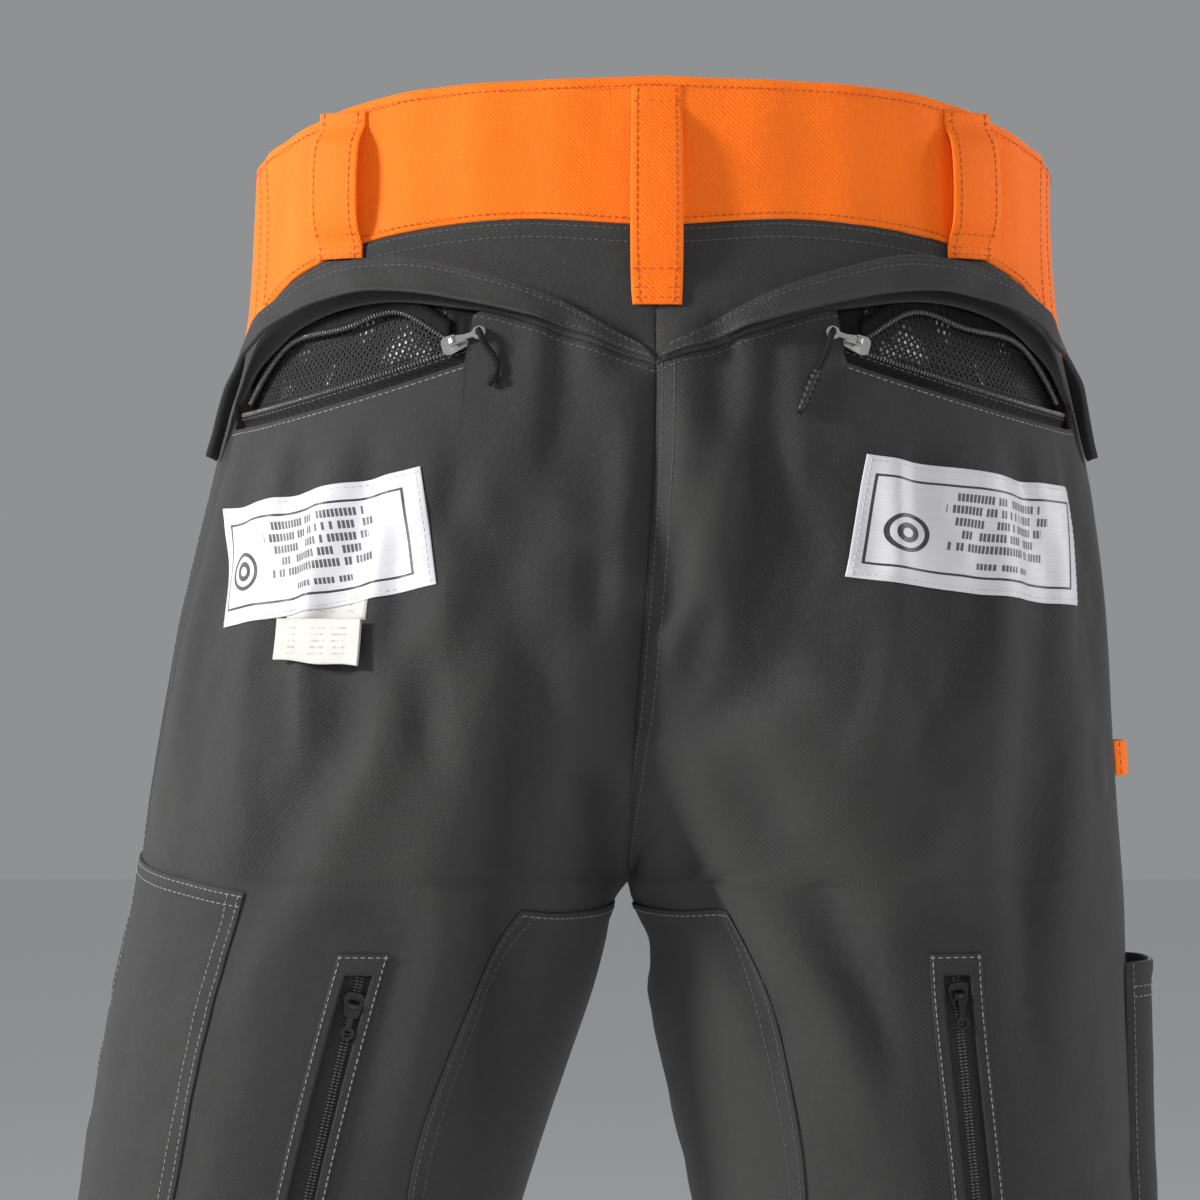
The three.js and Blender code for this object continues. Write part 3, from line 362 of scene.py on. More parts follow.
def calm(side, face, u, z):
    """How much the folds are held down, where zips, bands and labels keep the cloth flat."""
    keep = mix(1.0, 0.15, smoothstep(z, float(up(262)), float(up(300))))
    keep = keep * mix(0.35, 1.0, smoothstep(z, 20, 90))
    if face == "back":
        inside = smoothstep(u, 0.1, 0.27) * (1 - smoothstep(u, 0.9, 0.98))
        near = 1 - smoothstep(np.abs(z - up(245)), 26, 62)
        keep = keep * (1 - inside * near)
        name = "left" if side < 0 else "right"
        from_zip = np.abs(u - LEG_VENT_U[name]) / per_millimetre(side, face, u, z)
        beside = np.maximum(LEG_VENT_FOOT - z, z - LEG_VENT_TOP)
        away = np.hypot(np.maximum(from_zip, 0), np.maximum(beside, 0))
        keep = keep * mix(0.06, 1.0, smoothstep(away, 12, 46))
    else:
        middle = (1 - smoothstep(u, 0.12, 0.3)) * (1 - smoothstep(np.abs(z - up(195)), 70, 100))
        keep = keep * (1 - 0.92 * middle)
    return keep


SIM_COLUMNS = 26
SIM_HEIGHTS = np.linspace(0, 1176, 99)


def welded_garment(lift):
    """The whole garment as one mesh: both legs, and the seat that joins them. Gives its points, faces and index."""
    index, points, faces = {}, [], []
    heights = SIM_HEIGHTS
    at_crotch = int(np.abs(heights - INSEAM).argmin())
    columns = 2 * SIM_COLUMNS

    def key(side, j, i):
        if i == at_crotch and j in (0, columns):
            return "crotch"
        if i > at_crotch and j in (0, columns):
            return (j, i)
        return (side, j % columns if i < at_crotch else j, i)

    for side in (-1, 1):
        j = np.arange(columns + 1) / SIM_COLUMNS
        u = np.where(j <= 1, j, 2 - j)
        grid_u, grid_z = np.meshgrid(u, heights, indexing="ij")
        grid_z = np.where(np.abs(grid_z - heights[at_crotch]) < 1, INSEAM, grid_z)
        behind = bare(side, "back", grid_u, grid_z, lift)
        before = bare(side, "front", grid_u, grid_z, lift)
        place = np.where((j <= 1)[:, None, None], behind, before)
        for a in range(columns + 1):
            for b in range(len(heights)):
                name = key(side, a, b)
                if name not in index:
                    index[name] = len(points)
                    points.append(place[a, b])
        for a in range(columns):
            for b in range(len(heights) - 1):
                corners = [index[key(side, *c)] for c in ((a, b), (a + 1, b), (a + 1, b + 1), (a, b + 1))]
                corners = list(dict.fromkeys(corners))
                faces.append(corners if side > 0 else corners[::-1])
    return np.array(points), faces, lambda side, j, i: index[key(side, j, i)]


def plain_object(name, points, faces):
    mesh = bpy.data.meshes.new(name)
    mesh.from_pydata((np.asarray(points) * 0.001).tolist(), [], faces)
    made = bpy.data.objects.new(name, mesh)
    bpy.context.scene.collection.objects.link(made)
    return made


def settled_cloth():
    """Lets the garment's cloth, cut a little too large, buckle over the body inside it. Gives how far each point
    of the grid moved outwards."""
    points, faces, at = welded_garment(0.0)
    body_points, body_faces, _ = welded_garment(-8.0)
    cloth_object = plain_object("settling", points, faces)
    body_object = plain_object("body_form", body_points, body_faces)
    body_object.modifiers.new("Collision", "COLLISION")
    body_object.collision.thickness_outer = 0.002
    body_object.collision.cloth_friction = 12
    z = points[:, 2]
    hold = np.clip(smoothstep(z, float(up(225)), float(up(262))) + (1 - smoothstep(z, 6, 40)), 0, 1)
    group = cloth_object.vertex_groups.new(name="held")
    for i, weight in enumerate(hold):
        if weight > 0.01:
            group.add([i], float(weight), "REPLACE")
    jitter = np.random.default_rng(5).normal(size=len(points)) * 0.0004
    normals = np.array([v.normal for v in cloth_object.data.vertices])
    start = points * 0.001 + normals * jitter[:, None]
    cloth_object.data.vertices.foreach_set("co", start.ravel())
    modifier = cloth_object.modifiers.new("Cloth", "CLOTH")
    settings = modifier.settings
    settings.quality = 4
    settings.mass = 0.25
    settings.tension_stiffness = settings.compression_stiffness = 22
    settings.shear_stiffness = 6
    settings.bending_stiffness = 3.5
    settings.tension_damping = settings.compression_damping = 8
    settings.bending_damping = 1.5
    settings.air_damping = 3
    settings.shrink_min = -0.045
    settings.vertex_group_mass = "held"
    settings.pin_stiffness = 1
    settings.effector_weights.gravity = 0.5
    modifier.collision_settings.distance_min = 0.002
    modifier.collision_settings.collision_quality = 2
    modifier.collision_settings.use_self_collision = False
    modifier.point_cache.frame_start = 1
    modifier.point_cache.frame_end = 30
    scene = bpy.context.scene
    for number in range(1, 31):
        scene.frame_set(number)
    graph = bpy.context.evaluated_depsgraph_get()
    settled = np.array([v.co for v in cloth_object.evaluated_get(graph).data.vertices])
    moved = ((settled - points * 0.001) * normals).sum(1) * 1000
    scene.frame_set(1)
    for spent in (cloth_object, body_object):
        mesh = spent.data
        bpy.data.objects.remove(spent)
        bpy.data.meshes.remove(mesh)
    columns = 2 * SIM_COLUMNS
    found = {}
    for side in (-1, 1):
        whole = np.array([[moved[at(side, j, i)] for i in range(len(SIM_HEIGHTS))] for j in range(columns + 1)])
        found[side, "back"] = whole[: SIM_COLUMNS + 1]
        found[side, "front"] = whole[SIM_COLUMNS:][::-1]
    return found


def finer(grid):
    """A field on the simulated grid, read smoothly on the fold grid."""
    rising = through(np.c_[SIM_HEIGHTS, grid.T], Z_GRID)
    return through(np.c_[np.linspace(0, 1, SIM_COLUMNS + 1), rising.T], U_GRID)


def fold_fields():
    settled = settled_cloth()
    fields = {}
    grid_u, grid_z = np.meshgrid(U_GRID, Z_GRID, indexing="ij")
    for side in (-1, 1):
        for face in FACES:
            x = bare(side, face, grid_u, grid_z)[..., 0]
            h = grid_z - INSEAM
            drawn = np.zeros(x.shape)
            for fold in (BACK_FOLDS if face == "back" else FRONT_FOLDS):
                if np.sign(np.mean([p[0] for p in fold[0]])) == side:
                    drawn += FOLD_STRENGTH * crease(x, h, *fold)
            for fold in scattered_folds(side, face):
                drawn += crease(x, h, *fold)
            if settled:
                buckled = finer(settled[side, face])
                below_knee = mix(0.45, 1.0, smoothstep(grid_z, KNEE_SEAM - 60, KNEE_SEAM + 80))
                drawn = drawn + below_knee * 5.5 * np.tanh(buckled / 5.5)
            whole = calm(side, face, grid_u, grid_z) * drawn
            fields[side, face] = DEEPEST_FOLD * np.tanh(whole / DEEPEST_FOLD)
    for side in (-1, 1):  # both faces meet in one fold at the side seam and the inside leg
        for column in (-1, 0):
            mean = (fields[side, "back"][column] + fields[side, "front"][column]) / 2
            if column == 0:
                mean = np.where(Z_GRID > INSEAM, np.nan, mean)
            for face in FACES:
                gap = mean - fields[side, face][column]
                gap = np.where(np.isnan(gap), 0, gap)
                fade = 1 - smoothstep(np.abs(U_GRID - U_GRID[column]), 0, 0.12)
                fields[side, face] += fade[:, None] * gap
    for face in FACES:  # and both sides at the middle seam
        mean = (fields[-1, face][0] + fields[1, face][0]) / 2
        for side in (-1, 1):
            gap = np.where(Z_GRID > INSEAM - 20, mean - fields[side, face][0], 0)
            fade = 1 - smoothstep(U_GRID, 0, 0.12)
            fields[side, face] += fade[:, None] * gap
    return fields


FOLDS = fold_fields()


def fold(side, face, u, z):
    """How far the cloth is folded outwards at a place, in millimetres."""
    field = FOLDS[side, face]
    a = np.clip(np.asarray(u, float), 0, 1) * (len(U_GRID) - 1)
    b = np.clip(np.asarray(z, float) / Z_GRID[-1], 0, 1) * (len(Z_GRID) - 1)
    i = np.minimum(a.astype(int), len(U_GRID) - 2)
    j = np.minimum(b.astype(int), len(Z_GRID) - 2)
    s, t = a - i, b - j
    low = field[i, j] * (1 - s) + field[i + 1, j] * s
    high = field[i, j + 1] * (1 - s) + field[i + 1, j + 1] * s
    return low * (1 - t) + high * t


def cloth(side, face, u, z, lift=0.0):
    """A point over the folded cloth. A side given as an array mixes the two halves of the garment."""
    u, z = np.broadcast_arrays(np.asarray(u, float), np.asarray(z, float))
    if np.ndim(side):
        chosen = (np.asarray(side) < 0)[..., None]
        return np.where(chosen, cloth(-1, face, u, z, lift), cloth(1, face, u, z, lift))
    level = np.asarray(lift, float) + fold(side, face, u, z)
    point = bare(side, face, u, z, level)
    seam = bare(side, face, 0 * u, z, level)[..., 0]
    parted = side * (seam - lean(z)) - SEAM_GAP / 2
    drawn_in = (1 - smoothstep(u, 0, 0.09)) * smoothstep(z, INSEAM - 2, INSEAM + 8)
    point[..., 0] -= side * parted * drawn_in
    return point


def cloth_normal(side, face, u, z):
    du = 0.004
    inner = np.clip(u, du, 1 - du)
    across = cloth(side, face, inner + du, z) - cloth(side, face, inner - du, z)
    rising = cloth(side, face, inner, z + 2) - cloth(side, face, inner, z - 2)
    way = np.where(np.asarray(side) < 0, -1, 1) * (1 if face == "back" else -1)
    return unit(np.cross(across, rising) * np.asarray(way)[..., None])


# ------------------------------------------------------------------ camera, floor and light
def studio():
    """The garment's seat and thighs, seen square on from behind, over a pale floor in soft light."""
    scene = bpy.context.scene
    camera = bpy.data.objects.new("camera", bpy.data.cameras.new("camera"))
    scene.collection.objects.link(camera)
    camera.data.sensor_width = 36
    camera.data.lens = 147.5
    camera.data.clip_end = 60
    camera.location = ((SHIFT[0] - 14) * 0.001, -2.4, 0.931)
    camera.rotation_euler = (math.radians(90), 0, 0)
    scene.camera = camera

    floor_mesh = bmesh.new()
    bmesh.ops.create_grid(floor_mesh, x_segments=8, y_segments=8, size=14)
    mesh = bpy.data.meshes.new("floor")
    floor_mesh.to_mesh(mesh)
    floor_mesh.free()
    floor = bpy.data.objects.new("floor", mesh)
    floor.location.z = -0.0005
    scene.collection.objects.link(floor)
    pale = bpy.data.materials.new("floor_pale")
    pale.use_nodes = True
    surface = pale.node_tree.nodes["Principled BSDF"]
    surface.inputs["Base Color"].default_value = (0.9, 0.9, 0.9, 1)
    surface.inputs["Roughness"].default_value = 0.7
    mesh.materials.append(pale)

    world = bpy.data.worlds.new("studio")
    world.use_nodes = True
    world.node_tree.nodes["Background"].inputs["Color"].default_value = (0.92, 0.94, 0.97, 1)
    world.node_tree.nodes["Background"].inputs["Strength"].default_value = 0.3
    scene.world = world
    scene.view_settings.view_transform = "Standard"
    lights = [
        ("key_light", (-2.8, -1.05, 2.0), (-0.02, 0.0, 0.9), 130, 0.55),
        ("rim_light_left", (-2.0, 1.1, 1.5), (0.0, 0.0, 0.9), 10, 0.8),
        ("rim_light_right", (2.2, 0.2, 1.7), (0.05, 0.0, 0.9), 22, 0.7),
        ("fill_light", (1.7, -2.4, 1.6), (0.05, 0.0, 0.85), 8, 1.2),
        ("glint_light", (0.15, -2.7, 1.7), (0.0, 0.0, 1.05), 13, 0.35),
        ("front_light", (0.6, 2.8, 2.2), (0.0, 0.1, 0.8), 50, 1.2),
    ]
    for name, place, target, watts, size in lights:
        lamp = bpy.data.lights.new(name, "AREA")
        lamp.energy = watts
        lamp.size = size
        made = bpy.data.objects.new(name, lamp)
        made.location = place
        aim = Vector(target) - Vector(place)
        made.rotation_euler = aim.to_track_quat("-Z", "Y").to_euler()
        scene.collection.objects.link(made)


studio()


# ------------------------------------------------------------------ shader arithmetic
class Value:
    """One output of a finish's nodes, on which ordinary arithmetic adds Math nodes."""

    def __init__(self, finish, socket):
        self.finish = finish
        self.socket = socket

    def math(self, operation, *others):
        values = dict(enumerate([self, *others]))
        return self.finish.node("ShaderNodeMath", {"operation": operation}, values)

    def __add__(self, other):
        return self.math("ADD", other)

    def __sub__(self, other):
        return self.math("SUBTRACT", other)

    def __mul__(self, other):
        return self.math("MULTIPLY", other)

    def __truediv__(self, other):
        return self.math("DIVIDE", other)

    def __rsub__(self, other):
        return (self * -1) + other

    __radd__ = __add__
    __rmul__ = __mul__

    def __gt__(self, other):
        return self.math("GREATER_THAN", other)

    def __lt__(self, other):
        return self.math("LESS_THAN", other)

    def at_most(self, other):
        return self.math("MINIMUM", other)

    def at_least(self, other):
        return self.math("MAXIMUM", other)

    def sine(self):
        return self.math("SINE")

    def size(self):
        return self.math("ABSOLUTE")

    def to_the(self, exponent):
        return self.math("POWER", exponent)

    def whole(self):
        return self.math("FLOOR")

    def rest(self):
        return self.math("FRACT")

    def between(self, low, high):
        """1 where the value lies between two limits, and 0 elsewhere."""
        return (self > low) * (self < high)


class Finish:
    """A material whose nodes are made from Python."""

    def __init__(self, name):
        self.material = bpy.data.materials.new(name)
        self.material.use_nodes = True
        self.tree = self.material.node_tree
        self.surface = self.tree.nodes["Principled BSDF"]

    def node(self, kind, settings=None, values=None, output=0):
        """Adds a node: its settings first, then the values or links of its sockets, by name or number."""
        node = self.tree.nodes.new(kind)
        for key, value in (settings or {}).items():
            if key == "stops":
                ramp = node.color_ramp
                while len(ramp.elements) < len(value):
                    ramp.elements.new(0.5)
                for element, (position, colour) in zip(ramp.elements, value):
                    element.position = position
                    element.color = (*colour, 1)
            else:
                setattr(node, key, value)
        for key, value in (values or {}).items():
            self.set(node.inputs[key], value)
        return Value(self, node.outputs[output])

    def set(self, socket, value):
        if isinstance(value, Value):
            self.tree.links.new(value.socket, socket)
        elif hasattr(value, "__len__") and socket.type == "RGBA":
            socket.default_value = (*value[:3], 1)
        else:
            socket.default_value = value

    def blend(self, factor, first, second):
        """A colour between two others."""
        settings = {"data_type": "RGBA", "blend_type": "MIX", "clamp_factor": True}
        return self.node("ShaderNodeMix", settings, {0: factor, 6: first, 7: second}, 2)

    def noise(self, place, scale, detail=3.0, roughness=0.55):
        values = {"Vector": place, "Scale": scale, "Detail": detail, "Roughness": roughness}
        return self.node("ShaderNodeTexNoise", {}, values)

    def stretched(self, place, factors):
        return self.node("ShaderNodeVectorMath", {"operation": "MULTIPLY"}, {0: place, 1: factors})

    def cloth_place(self):
        """Where a point lies on the piece's own cloth, in metres, and its two parts."""
        place = self.node("ShaderNodeUVMap", {"uv_map": "cloth"})
        parts = {"Vector": place}
        x = self.node("ShaderNodeSeparateXYZ", {}, parts, 0)
        y = self.node("ShaderNodeSeparateXYZ", {}, parts, 1)
        return place, x, y

    def worn(self):
        return self.node("ShaderNodeAttribute", {"attribute_name": "worn"}, output=2)

    def bump(self, height, distance, strength=1.0):
        values = {"Strength": strength, "Distance": distance, "Height": height}
        return self.node("ShaderNodeBump", {}, values)

    def shine(self, **values):
        for name, value in values.items():
            self.set(self.surface.inputs[name.replace("_", " ")], value)
        return self.material


def grey(level, tint=(1, 1, 1)):
    return tuple(level * part for part in tint)


def woven_finish(name, dark, light, glint_fleck_colour, thread, relief, roughness, weave="twill", sheen=0.04, glint_fleck_share=0.3):
    """Cloth: its threads, the slubs in them, pale flecks painted in as glints of its fibres, cloudy fading, paler wear
    on edges, and painted light and shade on folds, lighter on their ridges and darker in their valleys.
    """
    finish = Finish(name)
    place, x, y = finish.cloth_place()
    turn = 2 * math.pi / thread
    if weave == "twill":
        rib = ((x + y) * (turn * 0.5)).sine() * 0.5 + 0.5
        threads = (x * turn).sine() * (y * (turn * 0.5)).sine() * 0.5 + 0.5
        woven = rib * 0.6 + threads * 0.4
    elif weave == "plain":
        woven = (x * turn).sine() * (y * turn).sine() * 0.5 + 0.5
    else:
        woven = (x * turn).sine() * 0.2 + ((y * turn * 0.5).sine() * 0.8) * 0.5 + 0.5
    slub = finish.noise(finish.stretched(place, (900, 180, 1)), 1.0, 2.0)
    grain = finish.noise(finish.stretched(place, (2600, 2600, 1)), 1.0, 2.0)
    cloud = finish.noise(finish.stretched(place, (16, 11, 1)), 1.0, 4.0)
    # Pale flecks painted into the colour as glints of the cloth's fibres: painted glints.
    glint_flecks = (finish.noise(finish.stretched(place, (700, 700, 1)), 1.0, 1.0, 0.3) > 0.76) * glint_fleck_share
    # Painted light and shade on folds: the attribute makes fold ridges lighter and fold valleys darker; it also makes
    # edges paler with real wear.
    fade = (cloud * 0.55 + woven * 0.2 + grain * 0.35 + finish.worn() * 0.7 - 0.2).at_least(0).at_most(1)
    base = finish.blend(fade, dark, light)
    base = finish.blend((slub - 0.52) * 2.2, base, light)
    base = finish.blend(glint_flecks * 0.35, base, glint_fleck_colour)
    height = woven * 0.6 + slub * 0.4 + grain * 0.5
    creases = finish.noise(finish.stretched(place, (70, 45, 1)), 1.0, 5.0, 0.6)
    fine = finish.bump(height, relief)
    soft = finish.node(
        "ShaderNodeBump", {}, {"Strength": 0.5, "Distance": 0.0014, "Height": creases, "Normal": fine}
    )
    rough = grain * 0.12 + cloud * 0.08 + (roughness - 0.1)
    return finish.shine(
        Base_Color=base, Roughness=rough, Normal=soft, Sheen_Weight=sheen, Sheen_Roughness=0.45,
        Specular_IOR_Level=0.25,
    )


def zip_tape_finish():
    finish = Finish("zip_tape_black")
    place, x, y = finish.cloth_place()
    zigzag = (x * 1400 + (y * 900).rest().size() * 2).sine() * 0.5 + 0.5
    ribs = (y * 6000).sine() * 0.5 + 0.5
    dust = finish.noise(finish.stretched(place, (240, 240, 1)), 1.0, 3.0)
    base = finish.blend(zigzag * 0.5 + dust * 0.5, grey(0.002), grey(0.007, (1, 1, 1.05)))
    normal = finish.bump(zigzag * 0.6 + ribs * 0.4, 0.00025)
    return finish.shine(
        Base_Color=base, Roughness=dust * 0.2 + 0.6, Normal=normal, Specular_IOR_Level=0.2
    )


def backing_finish():
    """The lining behind a vent's net, with painted light: patches painted bright as lit and others dark as shaded."""
    finish = Finish("vent_backing")
    place, x, y = finish.cloth_place()
    patch = finish.noise(finish.stretched(place, (62, 46, 1)), 1.0, 2.0)
    weave = (x * 4200).sine() * (y * 4200).sine() * 0.5 + 0.5
    # Patches painted bright as lit and dark as shaded: painted light and shade.
    lit = ((patch - 0.54) * 8.0).at_least(0).at_most(1)
    base = finish.blend(lit, grey(0.01), grey(0.85))
    return finish.shine(Base_Color=base, Roughness=weave * 0.2 + 0.5, Normal=finish.bump(weave, 0.0002))


def object_place(finish, factors=(1, 1, 1)):
    place = finish.node("ShaderNodeTexCoord", {}, output=3)
    return finish.stretched(place, factors)


def coil_finish():
    finish = Finish("zip_coil_black")
    place = object_place(finish, (900, 900, 900))
    mark = finish.noise(place, 1.0, 2.0)
    # The coil is black plastic; its colour is lifted to dark grey as painted glint on its loops.
    base = finish.blend(mark, grey(0.04), grey(0.12))
    return finish.shine(
        Base_Color=base, Roughness=mark * 0.12 + 0.16, Normal=finish.bump(mark, 0.00005), Specular_IOR_Level=0.9
    )


def metal_finish(name, dark, light):
    finish = Finish(name)
    scratch = finish.noise(object_place(finish, (300, 2400, 600)), 1.0, 3.0)
    tarnish = finish.noise(object_place(finish, (140, 140, 140)), 1.0, 4.0)
    base = finish.blend(tarnish * 0.8, dark, light)
    return finish.shine(
        Base_Color=base, Metallic=1.0 - tarnish * 0.08, Roughness=scratch * 0.14 + 0.18,
        Normal=finish.bump(scratch, 0.00002),
    )


def cord_finish(name, dark, light):
    """A braided cord: crossed strands that run round its own length."""
    finish = Finish(name)
    place, x, y = finish.cloth_place()
    left = ((x * 2400 + y * 2600).sine() * 0.5 + 0.5).to_the(0.7)
    right = ((x * 2400 - y * 2600).sine() * 0.5 + 0.5).to_the(0.7)
    fibre = finish.noise(finish.stretched(place, (6000, 2500, 1)), 1.0, 2.0)
    strands = left.at_least(right)
    base = finish.blend(strands * 0.6 + fibre * 0.4, dark, light)
    normal = finish.bump(strands + fibre * 0.4, 0.0003)
    return finish.shine(Base_Color=base, Roughness=0.9 - fibre * 0.25, Normal=normal, Specular_IOR_Level=0.2)


def thread_finish(name, dark, light):
    finish = Finish(name)
    twist = finish.noise(object_place(finish, (1800, 1800, 1800)), 1.0, 3.0)
    base = finish.blend(twist, dark, light)
    return finish.shine(Base_Color=base, Roughness=twist * 0.3 + 0.45, Normal=finish.bump(twist, 0.00015))


def moulded_finish(name, dark, light, roughness):
    finish = Finish(name)
    grain = finish.noise(object_place(finish, (2200, 2200, 2200)), 1.0, 2.0)
    scuff = finish.noise(object_place(finish, (260, 260, 700)), 1.0, 5.0)
    base = finish.blend(scuff * 0.7 + grain * 0.3, dark, light)
    return finish.shine(
        Base_Color=base, Roughness=scuff * 0.25 + roughness, Normal=finish.bump(grain, 0.00008)
    )


def satin_finish():
    """White woven satin with a generic print: a frame, a plain ring and rows of blocks that spell nothing."""
    finish = Finish("label_satin_print")
    place, x, y = finish.cloth_place()
    width, tall = 0.104, 0.056
    left = finish.node("ShaderNodeAttribute", {"attribute_name": "print_x"}, output=2)
    rise = finish.node("ShaderNodeAttribute", {"attribute_name": "print_y"}, output=2)
    across, height = left * width, rise * tall

    def bar(low, high, foot, top):
        return across.between(low, high) * height.between(foot, top)

    outer = bar(0.0042, width - 0.0075, 0.0068, tall - 0.0078)
    inner = bar(0.0053, width - 0.0086, 0.0079, tall - 0.0089)
    frame_line = outer - inner
    ring_x, ring_y = across - 0.0185, (height - 0.0235) * 1.0
    far = (ring_x * ring_x + ring_y * ring_y).to_the(0.5)
    ring = far.between(0.0070, 0.0089)
    dot = far.between(0.0022, 0.0046)
    printed = frame_line.at_least(ring).at_least(dot)
    rows = [
        (0.0408, 0.0445, 0.036, 0.079, 11), (0.0352, 0.0389, 0.032, 0.083, 23), (0.0296, 0.0333, 0.035, 0.080, 37),
        (0.0240, 0.0277, 0.039, 0.077, 51), (0.0184, 0.0221, 0.034, 0.081, 67), (0.0110, 0.0139, 0.046, 0.071, 83),
    ]
    for foot, top, start, end, seed in rows:
        cell = across * 640
        word = finish.node("ShaderNodeTexWhiteNoise", {"noise_dimensions": "1D"}, {"W": cell.whole() + seed * 1.37})
        blocks = bar(start, end, foot, top) * (word > 0.17) * (cell.rest() < 0.74)
        printed = printed.at_least(blocks * 0.9)
    worn_ink = finish.noise(finish.stretched(place, (900, 900, 1)), 1.0, 3.0)
    printed = printed * (1.0 - (worn_ink > 0.7) * 0.45)
    ribs = (y * 9000).sine() * 0.5 + 0.5
    gleam = finish.noise(finish.stretched(place, (60, 900, 1)), 1.0, 3.0)
    cloud = finish.noise(finish.stretched(place, (45, 45, 1)), 1.0, 3.0)
    # The white is lighter along gleam streaks: painted sheen.
    white = finish.blend(gleam * 0.5 + cloud * 0.5, grey(0.5, (0.98, 0.97, 1.04)), grey(0.68, (0.99, 0.98, 1.02)))
    base = finish.blend(printed, white, grey(0.02, (1, 1, 1.1)))
    soft = finish.node(
        "ShaderNodeBump", {},
        {"Strength": 0.6, "Distance": 0.0009, "Height": cloud, "Normal": finish.bump(ribs * 0.5 + gleam, 0.00012)},
    )
    return finish.shine(Base_Color=base, Roughness=gleam * 0.2 + 0.3, Normal=soft, Sheen_Weight=0.2)


def care_tape_finish():
    """Ivory tape with five faint rows of grey specks."""
    finish = Finish("care_tape_print")
    place, x, y = finish.cloth_place()
    row = (y * 330).rest().between(0.3, 0.62) * y.between(0.0035, 0.0185)
    cells = finish.node("ShaderNodeCombineXYZ", {}, {"X": (x * 1500).whole(), "Y": (y * 990).whole()})
    speck = finish.node("ShaderNodeTexWhiteNoise", {"noise_dimensions": "2D"}, {"Vector": cells}) > 0.42
    gap = finish.node("ShaderNodeTexWhiteNoise", {"noise_dimensions": "1D"}, {"W": (x * 260).whole()}) > 0.16
    printed = row * speck * gap * x.size().between(-1, 0.0155)
    weave = (x * 7000).sine() * (y * 7000).sine() * 0.5 + 0.5
    cloud = finish.noise(finish.stretched(place, (90, 90, 1)), 1.0, 3.0)
    ivory = finish.blend(cloud, grey(0.46, (1, 0.98, 0.9)), grey(0.64, (1, 0.985, 0.92)))
    base = finish.blend(printed * 0.5, ivory, grey(0.2))
    return finish.shine(
        Base_Color=base, Roughness=cloud * 0.2 + 0.45, Normal=finish.bump(weave + cloud, 0.0001), Sheen_Weight=0.1
    )


def all_finishes():
    shell = dict(thread=0.0011, relief=0.00028, roughness=0.72)
    return {
        "shell": woven_finish("shell_cloth_grey", grey(0.018), grey(0.042, (1, 0.99, 0.95)), grey(0.2), **shell),
        "patch": woven_finish(
            "patch_cloth_grey", grey(0.015), grey(0.036), grey(0.16), thread=0.0016, relief=0.0004,
            roughness=0.7, weave="plain",
        ),
        "flap_inside": woven_finish(
            "flap_lining_grey", grey(0.020), grey(0.046, (1, 0.99, 0.95)), grey(0.2), **shell
        ),
        "orange": woven_finish(
            "orange_cloth", (0.86, 0.125, 0.001), (1.0, 0.20, 0.003), (1.0, 0.42, 0.12), thread=0.0012,
            relief=0.0003, roughness=0.7, glint_fleck_share=0.2,
        ),
        "tape": zip_tape_finish(),
        "coil": coil_finish(),
        "nickel": metal_finish("slider_nickel", grey(0.66, (1, 0.99, 0.97)), grey(0.9, (1, 0.99, 0.97))),
        "gunmetal": metal_finish("slider_gunmetal", grey(0.02), grey(0.06)),
        "cord": cord_finish("cord_braid_black", grey(0.003), grey(0.014)),
        "grip": moulded_finish("cord_grip_black", grey(0.004), grey(0.012), 0.38),
        "net": moulded_finish("vent_net_black", grey(0.002), grey(0.007), 0.6),
        "net_back": backing_finish(),
        "satin": satin_finish(),
        "care": care_tape_finish(),
        "fibre": woven_finish(
            "saw_stop_fibre", (0.50, 0.42, 0.12), (0.74, 0.66, 0.26), (0.9, 0.85, 0.5), thread=0.004,
            relief=0.0012, roughness=0.75, weave="knit",
        ),
        "lining": woven_finish(
            "lining_cloth_grey", grey(0.20), grey(0.34), grey(0.5), thread=0.0013, relief=0.0002,
            roughness=0.6, weave="plain",
        ),
        "button": moulded_finish("button_plastic", grey(0.012), grey(0.03), 0.3),
        "thread_dark": thread_finish("thread_grey", grey(0.05), grey(0.11)),
        "thread_pale": thread_finish("thread_pale", grey(0.16), grey(0.3)),
        "thread_orange": thread_finish("thread_rust", (0.30, 0.045, 0.004), (0.55, 0.10, 0.01)),
        "thread_white": thread_finish("thread_white", grey(0.45), grey(0.7)),
    }


FINISH = all_finishes()


# ------------------------------------------------------------------ sheets of cloth
def run(length, step, edge=(0.5, 1.5)):
    """Where to divide a length, as shares of it: even steps, with two narrow ones along each edge."""
    inner = np.linspace(0, 1, max(2, int(round(length / step))) + 1)
    near = np.array(edge) / length
    inner = inner[(inner > near[-1] * 1.3) & (inner < 1 - near[-1] * 1.3)]
    return np.concatenate([[0], near, inner, 1 - near[::-1], [1]])


def edge_round(count):
    """How far a sheet's edge is rolled over, at each of its columns or rows."""
    amount = np.zeros(count)
    amount[[0, -1]] = 1.0
    amount[[1, -2]] = 0.45
    amount[[2, -3]] = 0.08
    return amount


